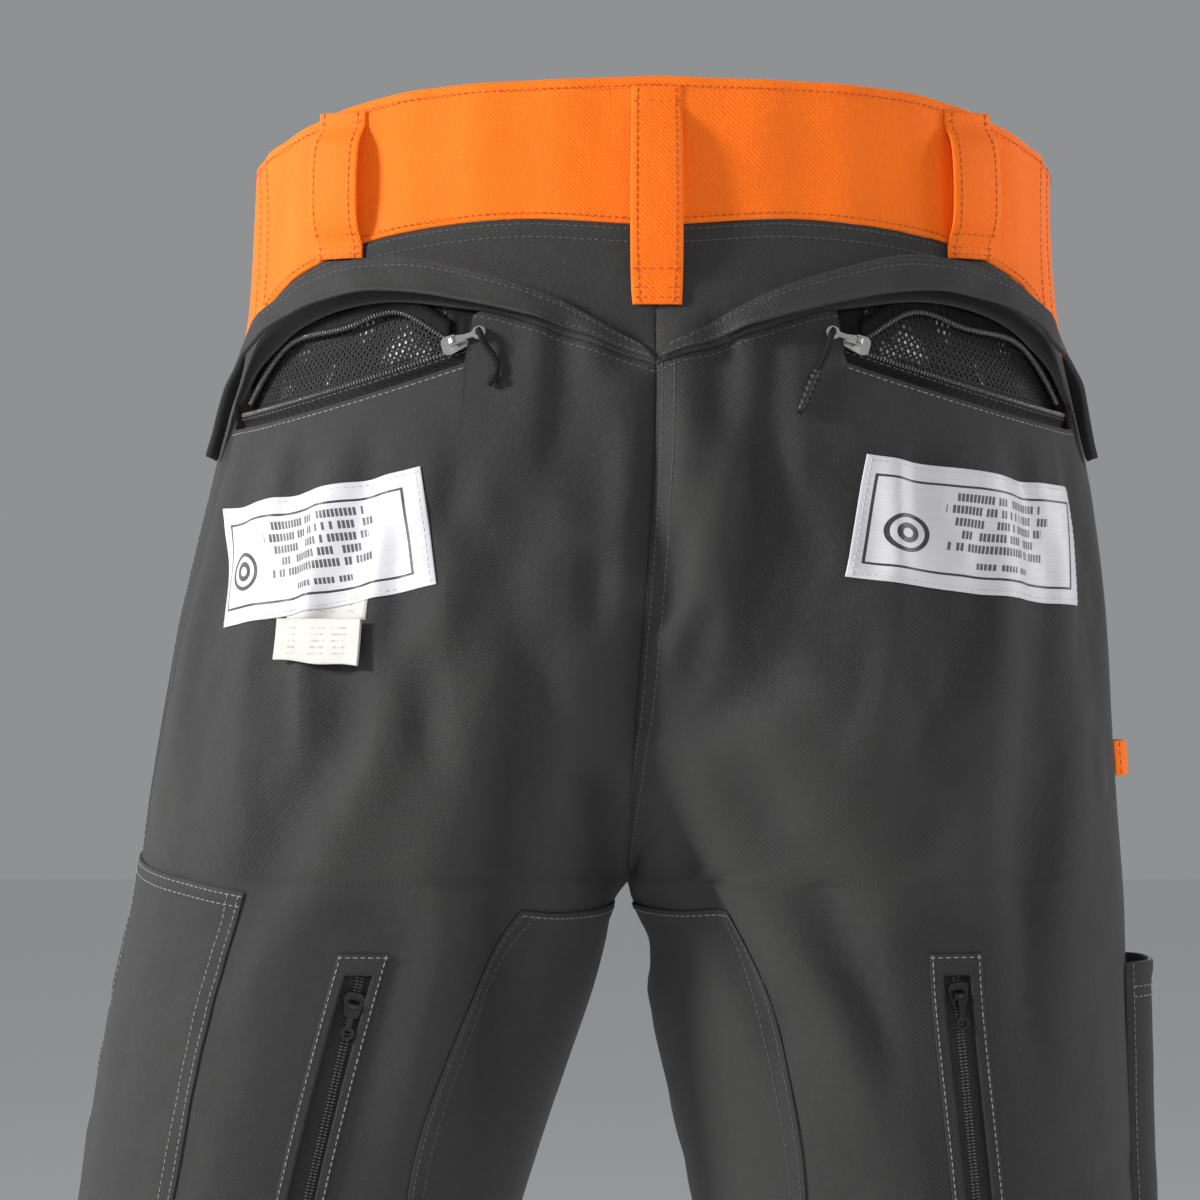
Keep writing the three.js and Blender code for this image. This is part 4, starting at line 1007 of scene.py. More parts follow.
def solid_sheet(name, outer, inner, finish, body, keep=None, worn=0.0, extra=None, smooth=True):
    """A closed sheet from a grid of points on its outside and one on its inside, in the garment's frame. Where
    keep is False, the sheet has a hole."""
    columns, rows = outer.shape[:2]
    count = columns * rows
    index = np.arange(count).reshape(columns, rows)
    kept = np.ones((columns - 1, rows - 1), bool) if keep is None else keep
    corners = np.stack([index[:-1, :-1], index[1:, :-1], index[1:, 1:], index[:-1, 1:]], -1)[kept]
    padded = np.pad(kept, 1)
    faces = [corners, corners[:, ::-1] + count]
    sides = (
        ((-1, 0), index[:-1, 1:], index[:-1, :-1]),
        ((1, 0), index[1:, :-1], index[1:, 1:]),
        ((0, -1), index[:-1, :-1], index[1:, :-1]),
        ((0, 1), index[1:, 1:], index[:-1, 1:]),
    )
    for (di, dj), first, second in sides:
        beside = padded[1 + di : columns + di, 1 + dj : rows + dj]
        rim = kept & ~beside
        a, b = first[rim], second[rim]
        faces.append(np.stack([b, a, a + count, b + count], -1))
    faces = np.concatenate(faces)
    points = np.concatenate([outer.reshape(-1, 3), inner.reshape(-1, 3)])
    used, faces = np.unique(faces, return_inverse=True)
    faces = faces.reshape(-1, 4)
    points = points[used]
    a, b, c, d = (points[faces[:, k]] for k in range(4))
    volume = (a * np.cross(b, c)).sum() + (a * np.cross(c, d)).sum()
    if volume < 0:
        faces = faces[:, ::-1]

    across = np.cumsum(np.linalg.norm(np.diff(outer, axis=0, prepend=outer[:1]), axis=-1), axis=0)
    across = across - across[-1:] / 2
    rising = np.cumsum(np.linalg.norm(np.diff(outer, axis=1, prepend=outer[:, :1]), axis=-1), axis=1)
    flat = np.stack([across, rising], -1)
    values = {"worn": np.broadcast_to(worn, (columns, rows)), **(extra or {})}
    made = mesh_object(name, points + SHIFT, faces, finish, body)
    uv = np.concatenate([flat.reshape(-1, 2)] * 2)[used] * 0.001
    set_cloth_uv(made.data, uv)
    for key, value in values.items():
        value = np.broadcast_to(value, (columns, rows)).reshape(-1)
        layer = made.data.attributes.new(key, "FLOAT", "POINT")
        layer.data.foreach_set("value", np.concatenate([value, value])[used].astype(np.float32))
    return made


def set_cloth_uv(mesh, uv):
    corner = np.zeros(len(mesh.loops), np.int32)
    mesh.loops.foreach_get("vertex_index", corner)
    layer = mesh.uv_layers.new(name="cloth")
    layer.data.foreach_set("uv", uv[corner].astype(np.float32).ravel())


def mesh_object(name, points, faces, finish, body, smooth=True):
    """A piece of the garment from points in the row frame, in millimetres."""
    name = name + "_cloth" if name in NODES else name
    mesh = bpy.data.meshes.new(name)
    mesh.from_pydata((np.asarray(points) * 0.001).tolist(), [], np.asarray(faces).tolist())
    mesh.polygons.foreach_set("use_smooth", [smooth] * len(mesh.polygons))
    mesh.materials.append(finish)
    made = bpy.data.objects.new(name, mesh)
    bpy.context.scene.collection.objects.link(made)
    if body:
        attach(made, body)
    return made


def flat_size(points):
    """The width, length and area of a grid of points laid flat."""
    across = np.linalg.norm(np.diff(points, axis=0), axis=-1).sum(0).max()
    along = np.linalg.norm(np.diff(points, axis=1), axis=-1).sum(1).max()
    p, q = points[1:, 1:] - points[:-1, :-1], points[:-1, 1:] - points[1:, :-1]
    area = np.linalg.norm(np.cross(p, q), axis=-1).sum() / 2
    width, length = across * 0.001, along * 0.001
    return (width, length), float(np.clip(area * 1e-6, 0.31 * width * length, width * length))


def sew(made, outer, share=1.0):
    """Works out the size and area that a sheet of cloth's own pattern piece was cut to, and gives the sheet back
    unchanged.
    """
    flat, area = flat_size(outer)
    area * share
    return made


def cloth_sheet(
    name, side, face, where, size, finish, body="trousers", thickness=FABRIC, lift=0.0, step=5.0, keep=None,
    node=None, declare=True, columns=None, rows=None, extra=None, raised=0.0,
):
    """A sheet that follows the folded cloth. where gives u and z for shares across and along it."""
    a = run(size[0], step) if columns is None else columns
    b = run(size[1], step) if rows is None else rows
    share_a, share_b = np.meshgrid(a, b, indexing="ij")
    u, z = where(share_a, share_b)
    rolled = np.maximum(edge_round(len(a))[:, None], edge_round(len(b))[None, :])
    stand = lift(share_a, share_b) if callable(lift) else lift + 0 * share_a
    outer = cloth(side, face, u, z, stand - rolled * thickness * 0.46 + raised * (1 - rolled))
    inner = cloth(side, face, u, z, stand - thickness + rolled * thickness * 0.46)
    distance = np.minimum(
        np.minimum(share_a, 1 - share_a) * size[0], np.minimum(share_b, 1 - share_b) * size[1]
    )
    folded = fold(1 if np.ndim(side) else side, face, u, z)
    # Cloth standing out on a fold is painted lighter and cloth in a fold's valley darker, painted light and shade;
    # near the edges it is paler with real wear.
    worn = np.clip(folded / 14, -0.25, 0.45) + 0.35 * np.exp(-distance / 2.0)
    chosen = keep(share_a, share_b) if keep else None
    made = solid_sheet(name, outer, inner, finish, body, chosen, worn, extra(share_a, share_b) if extra else None)
    if node is not False:
        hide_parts(node or name)
    if declare:
        sew(made, bare(side, face, u, z) if not np.ndim(side) else outer)
    return made


# ------------------------------------------------------------------ what repeats along a line
def follow_tree():
    """A tree that sets copies of a small shape along lines, each turned to its line and to the cloth under it."""
    tree = bpy.data.node_groups.new("pieces_along_lines", "GeometryNodeTree")
    inputs = [
        ("Lines", "NodeSocketGeometry", None), ("Shape", "NodeSocketObject", None),
        ("Spacing", "NodeSocketFloat", 0.004), ("Uneven", "NodeSocketFloat", 0.0),
        ("Size", "NodeSocketVector", (1, 1, 1)), ("Seed", "NodeSocketInt", 3),
        ("Finish", "NodeSocketMaterial", None),
    ]
    for name, kind, value in inputs:
        socket = tree.interface.new_socket(name, in_out="INPUT", socket_type=kind)
        if value is not None:
            socket.default_value = value
    tree.interface.new_socket("Pieces", in_out="OUTPUT", socket_type="NodeSocketGeometry")

    def add(kind, settings=None, values=None):
        node = tree.nodes.new(kind)
        for key, value in (settings or {}).items():
            setattr(node, key, value)
        for key, value in (values or {}).items():
            if isinstance(value, bpy.types.NodeSocket):
                tree.links.new(value, node.inputs[key])
            else:
                node.inputs[key].default_value = value
        return node

    given = add("NodeGroupInput").outputs
    line = add("GeometryNodeMeshToCurve", {}, {"Mesh": given["Lines"]}).outputs["Curve"]
    spread = add("GeometryNodeCurveToPoints", {"mode": "LENGTH"}, {"Curve": line, "Length": given["Spacing"]})
    out = add("GeometryNodeInputNamedAttribute", {"data_type": "FLOAT_VECTOR"}, {"Name": "out"})
    along = add(
        "FunctionNodeAlignRotationToVector", {"axis": "X", "pivot_axis": "AUTO"}, {"Vector": spread.outputs["Tangent"]}
    )
    turned = add(
        "FunctionNodeAlignRotationToVector", {"axis": "Z", "pivot_axis": "X"},
        {"Rotation": along.outputs["Rotation"], "Vector": out.outputs["Attribute"]},
    )
    low = add("ShaderNodeMath", {"operation": "SUBTRACT"}, {0: 1.0, 1: given["Uneven"]})
    high = add("ShaderNodeMath", {"operation": "ADD"}, {0: 1.0, 1: given["Uneven"]})
    chance = add(
        "FunctionNodeRandomValue", {"data_type": "FLOAT"},
        {2: low.outputs[0], 3: high.outputs[0], "Seed": given["Seed"]},
    )
    size = add(
        "ShaderNodeVectorMath", {"operation": "SCALE"}, {0: given["Size"], "Scale": chance.outputs[1]}
    )
    shape = add("GeometryNodeObjectInfo", {}, {"Object": given["Shape"]})
    placed = add(
        "GeometryNodeInstanceOnPoints", {},
        {
            "Points": spread.outputs["Points"], "Instance": shape.outputs["Geometry"],
            "Rotation": turned.outputs["Rotation"], "Scale": size.outputs["Vector"],
        },
    )
    real = add("GeometryNodeRealizeInstances", {}, {"Geometry": placed.outputs["Instances"]})
    finished = add(
        "GeometryNodeSetMaterial", {}, {"Geometry": real.outputs["Geometry"], "Material": given["Finish"]}
    )
    add("NodeGroupOutput", {}, {"Pieces": finished.outputs["Geometry"]})
    return tree


FOLLOW = follow_tree()
SHAPES = {}


def small_shape(name, make):
    """A little shape that is copied many times, about its own middle, with its length along X, in millimetres."""
    if name not in SHAPES:
        shape = bmesh.new()
        make(shape)
        mesh = bpy.data.meshes.new("shape_" + name)
        bmesh.ops.recalc_face_normals(shape, faces=shape.faces)
        shape.to_mesh(mesh)
        shape.free()
        mesh.polygons.foreach_set("use_smooth", [True] * len(mesh.polygons))
        mesh.transform(Matrix.Scale(0.001, 4))
        SHAPES[name] = bpy.data.objects.new("shape_" + name, mesh)
        bpy.context.scene.collection.objects.link(SHAPES[name])
    return SHAPES[name]


def bead(length, width, height, segments=6, rings=5):
    def make(shape):
        bmesh.ops.create_uvsphere(shape, u_segments=segments, v_segments=rings, radius=0.5)
        bmesh.ops.rotate(shape, verts=shape.verts, matrix=Matrix.Rotation(math.pi / 2, 3, "Y"))
        bmesh.ops.scale(shape, verts=shape.verts, vec=(length, width, height))

    return make


def ring(radius, hole, height, sides=6):
    """A flat ring of a few sides, its hole along Z."""

    def make(shape):
        loops = []
        for far, level in ((hole, -0.5), (radius, -0.35), (radius, 0.35), (hole, 0.5)):
            turns = [2 * math.pi * (k + 0.5) / sides for k in range(sides)]
            loops.append([shape.verts.new((far * math.cos(t), far * math.sin(t), level * height)) for t in turns])
        for first, second in zip(loops, loops[1:] + loops[:1]):
            for k in range(sides):
                shape.faces.new((first[k], first[k - 1], second[k - 1], second[k]))

    return make


def copies_along(name, lines, shape, spacing, finish, body, size=(1, 1, 1), uneven=0.0, seed=3):
    """Copies of a shape along lines of (points, outward directions), all as one plain mesh on one body."""
    points = np.concatenate([line for line, _ in lines]) + SHIFT
    outward = np.concatenate([direction for _, direction in lines])
    edges, start = [], 0
    for line, _ in lines:
        edges += [(start + k, start + k + 1) for k in range(len(line) - 1)]
        start += len(line)
    mesh = bpy.data.meshes.new(name + "_lines")
    mesh.from_pydata((points * 0.001).tolist(), edges, [])
    layer = mesh.attributes.new("out", "FLOAT_VECTOR", "POINT")
    layer.data.foreach_set("vector", outward.astype(np.float32).ravel())
    guide = bpy.data.objects.new(name + "_guide", mesh)
    bpy.context.scene.collection.objects.link(guide)
    modifier = guide.modifiers.new("copies", "NODES")
    modifier.node_group = FOLLOW
    sockets = {item.name: item.identifier for item in FOLLOW.interface.items_tree if item.in_out == "INPUT"}
    wanted = {
        "Shape": shape, "Spacing": spacing * 0.001, "Uneven": uneven, "Size": size, "Seed": seed, "Finish": finish
    }
    for key, value in wanted.items():
        modifier[sockets[key]] = value
    graph = bpy.context.evaluated_depsgraph_get()
    real = bpy.data.meshes.new_from_object(guide.evaluated_get(graph))
    real.name = name
    bpy.data.objects.remove(guide)
    bpy.data.meshes.remove(mesh)
    for layer in list(real.attributes):
        if layer.name == "out":
            real.attributes.remove(layer)
    if not real.materials:
        real.materials.append(finish)
    real.materials[0] = finish
    made = bpy.data.objects.new(name, real)
    bpy.context.scene.collection.objects.link(made)
    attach(made, body)
    return made


STITCHES = {}


def stitch(body, thread, points, normals):
    STITCHES.setdefault((body, thread), []).append((points, normals))


def stitch_line(body, thread, side, face, u, z, lift, samples=None):
    """A row of stitches over the cloth, through places given by u and z."""
    u, z = np.broadcast_arrays(np.asarray(u, float), np.asarray(z, float))
    rough = cloth(side, face, u, z, 0)
    steps = np.concatenate([[0], np.cumsum(np.linalg.norm(np.diff(rough, axis=0), axis=-1))])
    count = samples or max(3, int(steps[-1] / 4))
    at = np.linspace(0, steps[-1], count)
    u, z = np.interp(at, steps, u), np.interp(at, steps, z)
    level = np.interp(at, steps, np.broadcast_to(lift, steps.shape))
    stitch(body, thread, cloth(side, face, u, z, level), cloth_normal(side, face, u, z))


def finish_stitches():
    shape = small_shape("stitch", bead(2.7, 0.62, 0.5, 6, 4))
    for (body, thread), lines in STITCHES.items():
        name = f"stitches_{body}_{thread.split('_')[1]}"
        copies_along(name, lines, shape, 3.4, FINISH[thread], body, uneven=0.08)


# ------------------------------------------------------------------ pull cords
def smooth_line(points, count):
    points = np.asarray(points, float)
    steps = np.concatenate([[0], np.cumsum(np.linalg.norm(np.diff(points, axis=0), axis=1))])
    return through(np.c_[steps, points], np.linspace(0, steps[-1], count))


def tube_along(name, line, radius, finish, body, sides=14):
    """A closed tube round a line, with a radius for each of its points, in the row frame."""
    along = unit(np.gradient(line, axis=0))
    side = unit(np.cross(along, [0.0, 0.0, 1.0]) + 1e-6)
    rise = np.cross(side, along)
    radius = np.broadcast_to(radius, (len(line), sides + 1) if np.ndim(radius) == 2 else len(line))
    turn = np.linspace(0, 2 * math.pi, sides + 1)
    round_ = np.cos(turn)[None, :, None] * side[:, None] + np.sin(turn)[None, :, None] * rise[:, None]
    wide = radius if np.ndim(radius) == 2 else radius[:, None]
    points = line[:, None] + round_[:, :-1] * (wide[:, :-1] if np.ndim(radius) == 2 else wide)[..., None]
    count = len(line)
    index = np.arange(count * sides).reshape(count, sides)
    after = np.roll(index, -1, axis=1)
    quads = np.stack([index[:-1], after[:-1], after[1:], index[1:]], -1).reshape(-1, 4).tolist()
    caps = [index[0][::-1].tolist(), index[-1].tolist()]
    made = mesh_object(name, points.reshape(-1, 3), [], finish, None)
    mesh = made.data
    mesh.clear_geometry()
    mesh.from_pydata((points.reshape(-1, 3) * 0.001).tolist(), [], quads + caps)
    tidy = bmesh.new()
    tidy.from_mesh(mesh)
    bmesh.ops.recalc_face_normals(tidy, faces=tidy.faces)
    tidy.to_mesh(mesh)
    tidy.free()
    mesh.polygons.foreach_set("use_smooth", [True] * len(mesh.polygons))
    length = np.concatenate([[0], np.cumsum(np.linalg.norm(np.diff(line, axis=0), axis=1))])
    girth = np.broadcast_to(np.arange(sides) / sides * 2 * math.pi * 1.5, (count, sides))
    uv = np.stack([np.broadcast_to(length[:, None], (count, sides)), girth], -1).reshape(-1, 2) * 0.001
    set_cloth_uv(mesh, uv)
    if body:
        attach(made, body)
    return made


CORDS = {  # the points that each pull cord runs through, in the row frame
    "left": [
        (-32.2, -112.3, 1055.1), (-32.6, -113.7, 1055.7), (-32.4, -115.4, 1056.6), (-30.4, -118.0, 1051.5),
        (-25.7, -117.6, 1044.8), (-23.7, -119.5, 1038.8), (-24.7, -120.7, 1033.8), (-27.8, -121.0, 1030.8),
    ],
    "right": [
        (132.2, -112.3, 1055.0), (132.6, -113.8, 1055.6), (132.4, -115.4, 1056.5), (130.3, -118.5, 1049.5),
        (126.7, -118.5, 1040.7), (122.6, -121.4, 1032.7), (119.4, -124.0, 1024.7), (116.2, -126.1, 1017.6),
    ],
}


def pull_cord(name):
    line = smooth_line(CORDS[name], 60)
    length = np.linalg.norm(np.diff(line, axis=0), axis=1).sum()
    body = f"vent_pull_{name}"
    share = np.linspace(0, 1, len(line))
    turn = np.arange(15) / 14 * 2 * math.pi
    braid = 0.1 * np.sin(share[:, None] * length * 2.1 + turn * 2) * np.sin(share[:, None] * length * 2.1 - turn * 2)
    cord = tube_along(f"vent_cord_{name}", line, CORD_DIAMETER / 2 - 0.12 + braid, FINISH["cord"], body)
    end = line[-12:]
    if name == "right":  # a ribbed moulded grip closes the cord's end
        ribs = smooth_line(line[30:], 72)
        t = np.linspace(0, 1, 72)
        wide = 1.95 + 0.28 * np.sign(np.sin(t * 44)) * (t > 0.08) * (t < 0.86)
        wide = wide * np.minimum(1, (t * 14 + 0.35)) * np.sqrt(np.clip(1.03 - ((t - 0.6) / 0.4).clip(0) ** 4, 0.05, 1))
        tube_along("vent_cord_grip_right", ribs, wide, FINISH["grip"], body)
    else:  # a knot, with the cord's tail beyond it
        middle = end[4]
        turns = np.linspace(0, 2 * math.pi * 1.6, 46)
        ahead = unit(end[-1] - end[0])
        side = unit(np.cross(ahead, [0.3, 1, 0.2]))
        up_ = np.cross(ahead, side)
        knot = middle + 1.5 * (np.cos(turns)[:, None] * side + np.sin(turns)[:, None] * up_)
        knot = knot + ahead * (np.linspace(-1.1, 1.1, 46)[:, None])
        wide = 1.15 * np.sqrt(np.clip(1 - (np.linspace(-1, 1, 46) ** 8), 0.1, 1))
        tube_along("vent_cord_knot_left", knot, wide, FINISH["cord"], body, 10)
    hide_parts(f"vent_cord_{name}")
    tuple(line[0] * 0.001)
    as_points(line * 0.001)


# ------------------------------------------------------------------ the panels
def zip_arc(side):
    """The circle that a vent's slider runs round, and the cone that its tape starts on."""
    a, b, c = (bare(side, "back", u, up(h), ZIP_DEPTH) for u, h in ZIP_LINE)
    ab, ac = b - a, c - a
    axis = np.cross(ab, ac)
    middle = a + (np.cross(axis, ab) * (ac @ ac) + np.cross(ac, axis) * (ab @ ab)) / (2 * axis @ axis)
    axis = unit(axis) * (1 if axis[2] > 0 else -1)
    radius = np.linalg.norm(a - middle)
    start = (a - middle) / radius
    ahead = np.cross(axis, start)
    sweep = math.atan2((c - middle) @ ahead, (c - middle) @ start)

    def ray(t):
        t = np.asarray(t, float)[..., None]
        return start * np.cos(sweep * t) + ahead * np.sin(sweep * t)

    u, z = ZIP_LINE[1][0], float(up(ZIP_LINE[1][1]))
    rising = bare(side, "back", u, z + 5) - bare(side, "back", u, z - 5)
    tilt = math.atan2(-rising @ ray(0.45), rising @ axis)

    def at(t, over, out):
        across = axis * math.cos(tilt) - ray(t) * math.sin(tilt)
        outwards = ray(t) * math.cos(tilt) + axis * math.sin(tilt)
        over, out = np.asarray(over, float)[..., None], np.asarray(out, float)[..., None]
        return middle + ray(t) * radius + across * over + outwards * out

    spots = at(np.linspace(-0.1, 1.1, 25), 0.0, 0.0)
    u = across_to(side, "back", side * (spots[:, 0] - lean(spots[:, 2])), spots[:, 2])
    order = np.argsort(u)
    traced = np.c_[u, spots[:, 2]][order]
    outwards = lambda t: ray(t) * math.cos(tilt) + axis * math.sin(tilt)
    share = SLIDER_LENGTH / radius / abs(sweep)
    return {"at": at, "traced": traced, "outwards": outwards, "share": share, "axis": axis, "radius": radius}


ARCS = {side: zip_arc(side) for _, side in SIDES}


def zip_height(side, u):
    return through(ARCS[side]["traced"], u)[..., 0]


def seat_top(side, u):
    seam = line_height(YOKE_SEAM, u) - SEAM_GAP
    mouth = smoothstep(u, VENT_INNER - 0.006, VENT_INNER + 0.004) * (
        1 - smoothstep(u, VENT_OUTER - 0.004, VENT_OUTER + 0.006)
    )
    return np.minimum(seam, mix(seam, zip_height(side, u) - LIP_DROP, mouth))


def seat_panel(name, side):
    half = ZIP_SLOT / 2
    low, high = LEG_VENT_FOOT + SLOT_END, LEG_VENT_TOP - SLOT_END
    hip = float(up(194))
    ends = [(low - KNEE_SEAM) / 620, (high - KNEE_SEAM) / 620, (hip - KNEE_SEAM) / 620]
    middle = LEG_VENT_U[name]

    def where(a, b):
        z = np.interp(b, [0, *ends], [KNEE_SEAM, low, high, hip])
        reach = half * per_millimetre(side, "back", middle, np.clip(z, low, high))
        lower, upper = middle - reach, middle + reach
        base = middle - 0.023, middle + 0.023
        u = np.where(
            a < base[0], a / base[0] * lower,
            np.where(a > base[1], upper + (a - base[1]) / (1 - base[1]) * (1 - upper), 0),
        )
        inside = (a >= base[0]) & (a <= base[1])
        u = np.where(inside, mix(lower, upper, (a - base[0]) / (base[1] - base[0])), u)
        return u, np.where(b > ends[2], mix(hip, seat_top(side, u), (b - ends[2]) / (1 - ends[2])), z)

    columns = np.unique(np.concatenate([run(330, 4.2), [middle - 0.023, middle + 0.023], [VENT_INNER, VENT_OUTER]]))
    rows = np.unique(np.concatenate([run(620, 4.5), ends]))

    def keep(a, b):
        centre_a = (a[:-1, :-1] + a[1:, 1:]) / 2
        centre_b = (b[:-1, :-1] + b[1:, 1:]) / 2
        hole = (np.abs(centre_a - middle) < 0.023) & (centre_b > ends[0]) & (centre_b < ends[1])
        return ~hole

    cloth_sheet(
        f"seat_panel_{name}", side, "back", where, (330, 620), FINISH["shell"], columns=columns,
        rows=rows, keep=keep,
    )


def panels(name, side):
    seat_panel(name, side)

    fly_low, fly_high = FLY_FOOT + SLOT_END, FLY_FOOT + FLY_LENGTH - SLOT_END
    ends = [(fly_low - KNEE_SEAM) / 590, (fly_high - KNEE_SEAM) / 590]

    def thigh(a, b):
        u = a
        top = line_height(FRONT_BAND_SEAM, u) - SEAM_GAP
        z = np.where(b < ends[0], mix(KNEE_SEAM, fly_low, b / ends[0]), mix(fly_low, fly_high, (b - ends[0]) / (ends[1] - ends[0])))
        z = np.where(b >= ends[1], mix(fly_high, top, (b - ends[1]) / (1 - ends[1])), z)
        return u, z

    slot = 0.03
    columns = np.unique(np.concatenate([run(300, 5), [slot]]))
    rows = np.unique(np.concatenate([run(590, 5.5), ends]))

    def keep(a, b):
        centre_a = (a[:-1, :-1] + a[1:, 1:]) / 2
        centre_b = (b[:-1, :-1] + b[1:, 1:]) / 2
        return ~((centre_a < slot) & (centre_b > ends[0]) & (centre_b < ends[1]))

    def widened(a, b):
        u, z = thigh(a, b)
        reach = ZIP_SLOT / 2 * per_millimetre(side, "front", 0.02, np.clip(z, fly_low, fly_high))
        return np.where(a < slot, a / slot * reach, mix(reach, 1.0, (a - slot) / (1 - slot))), z

    cloth_sheet(
        f"thigh_panel_{name}", side, "front", widened, (300, 590), FINISH["shell"],
        columns=columns, rows=rows, keep=keep,
    )
    shin_low, shin_high = CUFF_HEIGHT + 0.6, KNEE_SEAM - SEAM_GAP
    for face, part in (("back", "calf_panel"), ("front", "shin_panel")):
        cloth_sheet(
            f"{part}_{name}", side, face, lambda a, b: (a, mix(shin_low, shin_high, b)), (270, 440),
            FINISH["shell"], step=6,
        )
    cloth_sheet(
        f"yoke_{name}", side, "back",
        lambda a, b: (a, mix(line_height(YOKE_SEAM, a), line_height(BAND_SEAM, a) - SEAM_GAP, b)),
        (330, 40), FINISH["shell"], step=4,
    )

    along = np.linspace(0, 1, 60)
    body, dark = "trousers", "thread_dark"
    for offset in (3.0, 9.0):
        for face in FACES:
            top = float(up(240)) if face == "back" else float(up(225))
            rows_z = np.linspace(INSEAM + 10, top, 50)
            reach = offset * per_millimetre(side, face, 0.02, rows_z)
            if side > 0:
                stitch_line(body, dark, side, face, reach, rows_z, 0.12)
            leg_z = np.linspace(CUFF_HEIGHT + 6, INSEAM - 16, 90)
            stitch_line(body, dark, side, face, offset * per_millimetre(side, face, 0.02, leg_z), leg_z, 0.12)
    side_z = np.linspace(CUFF_HEIGHT + 6, float(up(214)), 120)
    for offset in (3.0, 9.0):
        stitch_line(
            body, dark, side, "back", 1 - offset * per_millimetre(side, "back", 0.97, side_z), side_z, 0.12
        )
    for face in FACES:
        for offset in (-3.5, 3.5):
            stitch_line(body, dark, side, face, along, KNEE_SEAM + offset + 0 * along, 0.12)
    lip = np.linspace(VENT_INNER + 0.01, VENT_OUTER - 0.005, 70)
    stitch_line(body, "thread_pale", side, "back", lip, seat_top(side, lip) - 2.6, 0.14)
    for low, high in ((0.004, VENT_INNER - 0.01), (VENT_OUTER + 0.012, 0.996)):
        part = np.linspace(low, high, 20)
        stitch_line(body, dark, side, "back", part, line_height(YOKE_SEAM, part) - 3.2, 0.12)
    for offset in (2.5, 8.5):
        stitch_line(body, dark, side, "back", along, line_height(BAND_SEAM, along) - offset, 0.12)
        stitch_line(body, dark, side, "front", along, line_height(FRONT_BAND_SEAM, along) - offset, 0.12)


def both_sides(s):
    return np.abs(s), np.where(s < 0, -1, 1)


def inner_layers(name, side):
    pad_outside = -FABRIC - LAYER_GAP
    low, high = 180.0, float(up(158))
    a, b = np.linspace(0.125, 1, 34), np.linspace(low, high, 90)
    u, z = np.meshgrid(a, b, indexing="ij")
    rolled = np.maximum(edge_round(len(a))[:, None], edge_round(len(b))[None, :])
    quilt = 0.35 * (np.cos((z - low) / 38 * 2 * math.pi) > 0.97)
    outer = cloth(side, "front", u, z, pad_outside - rolled * 1.9 - quilt)
    inner = cloth(side, "front", u, z, pad_outside - PAD_THICKNESS + rolled * 1.9 + quilt)
    pad = solid_sheet(f"saw_stop_pad_{name}", outer, inner, FINISH["fibre"], "trousers", worn=0.1)
    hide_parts(f"saw_stop_pad_{name}")

    lining_outside = pad_outside - PAD_THICKNESS - LAYER_GAP
    ring_sheet(
        f"leg_lining_{name}", side, 50.0, 785.0, lining_outside, LINING, FINISH["lining"], 9.0
    )
    ring_sheet(f"cuff_{name}", side, 0.0, CUFF_HEIGHT, 0.0, 3.0, FINISH["patch"], 5.0)
    around = np.linspace(0, 1, 60)
    for face in FACES:
        for level in (4.0, 24.0):
            stitch_line("trousers", "thread_dark", side, face, around, level + 0 * around, 0.12)


def ring_sheet(name, side, low, high, outside, thickness, finish, step):
    """A ring of cloth round one leg, open by a seam's width at the inside of the leg."""
    a, b = run(560, step), run(high - low, step)
    t, v = np.meshgrid(a * 2, b, indexing="ij")
    u, behind = np.where(t <= 1, t, 2 - t), (t <= 1)[..., None]
    z = mix(low, high, v)
    rolled = edge_round(len(b))[None, :] + 0 * t

    def at(lift):
        point = np.where(behind, cloth(side, "back", u, z, lift), cloth(side, "front", u, z, lift))
        point[..., 2] = np.maximum(point[..., 2], low)
        return point

    outer = at(outside - rolled * thickness * 0.46)
    inner = at(outside - thickness + rolled * thickness * 0.46)
    worn = 0.4 * np.exp(-np.minimum(v, 1 - v) * (high - low) / 2.0)
    made = solid_sheet(name, outer, inner, finish, "trousers", worn=worn)
    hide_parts(name)
    return sew(made, outer)


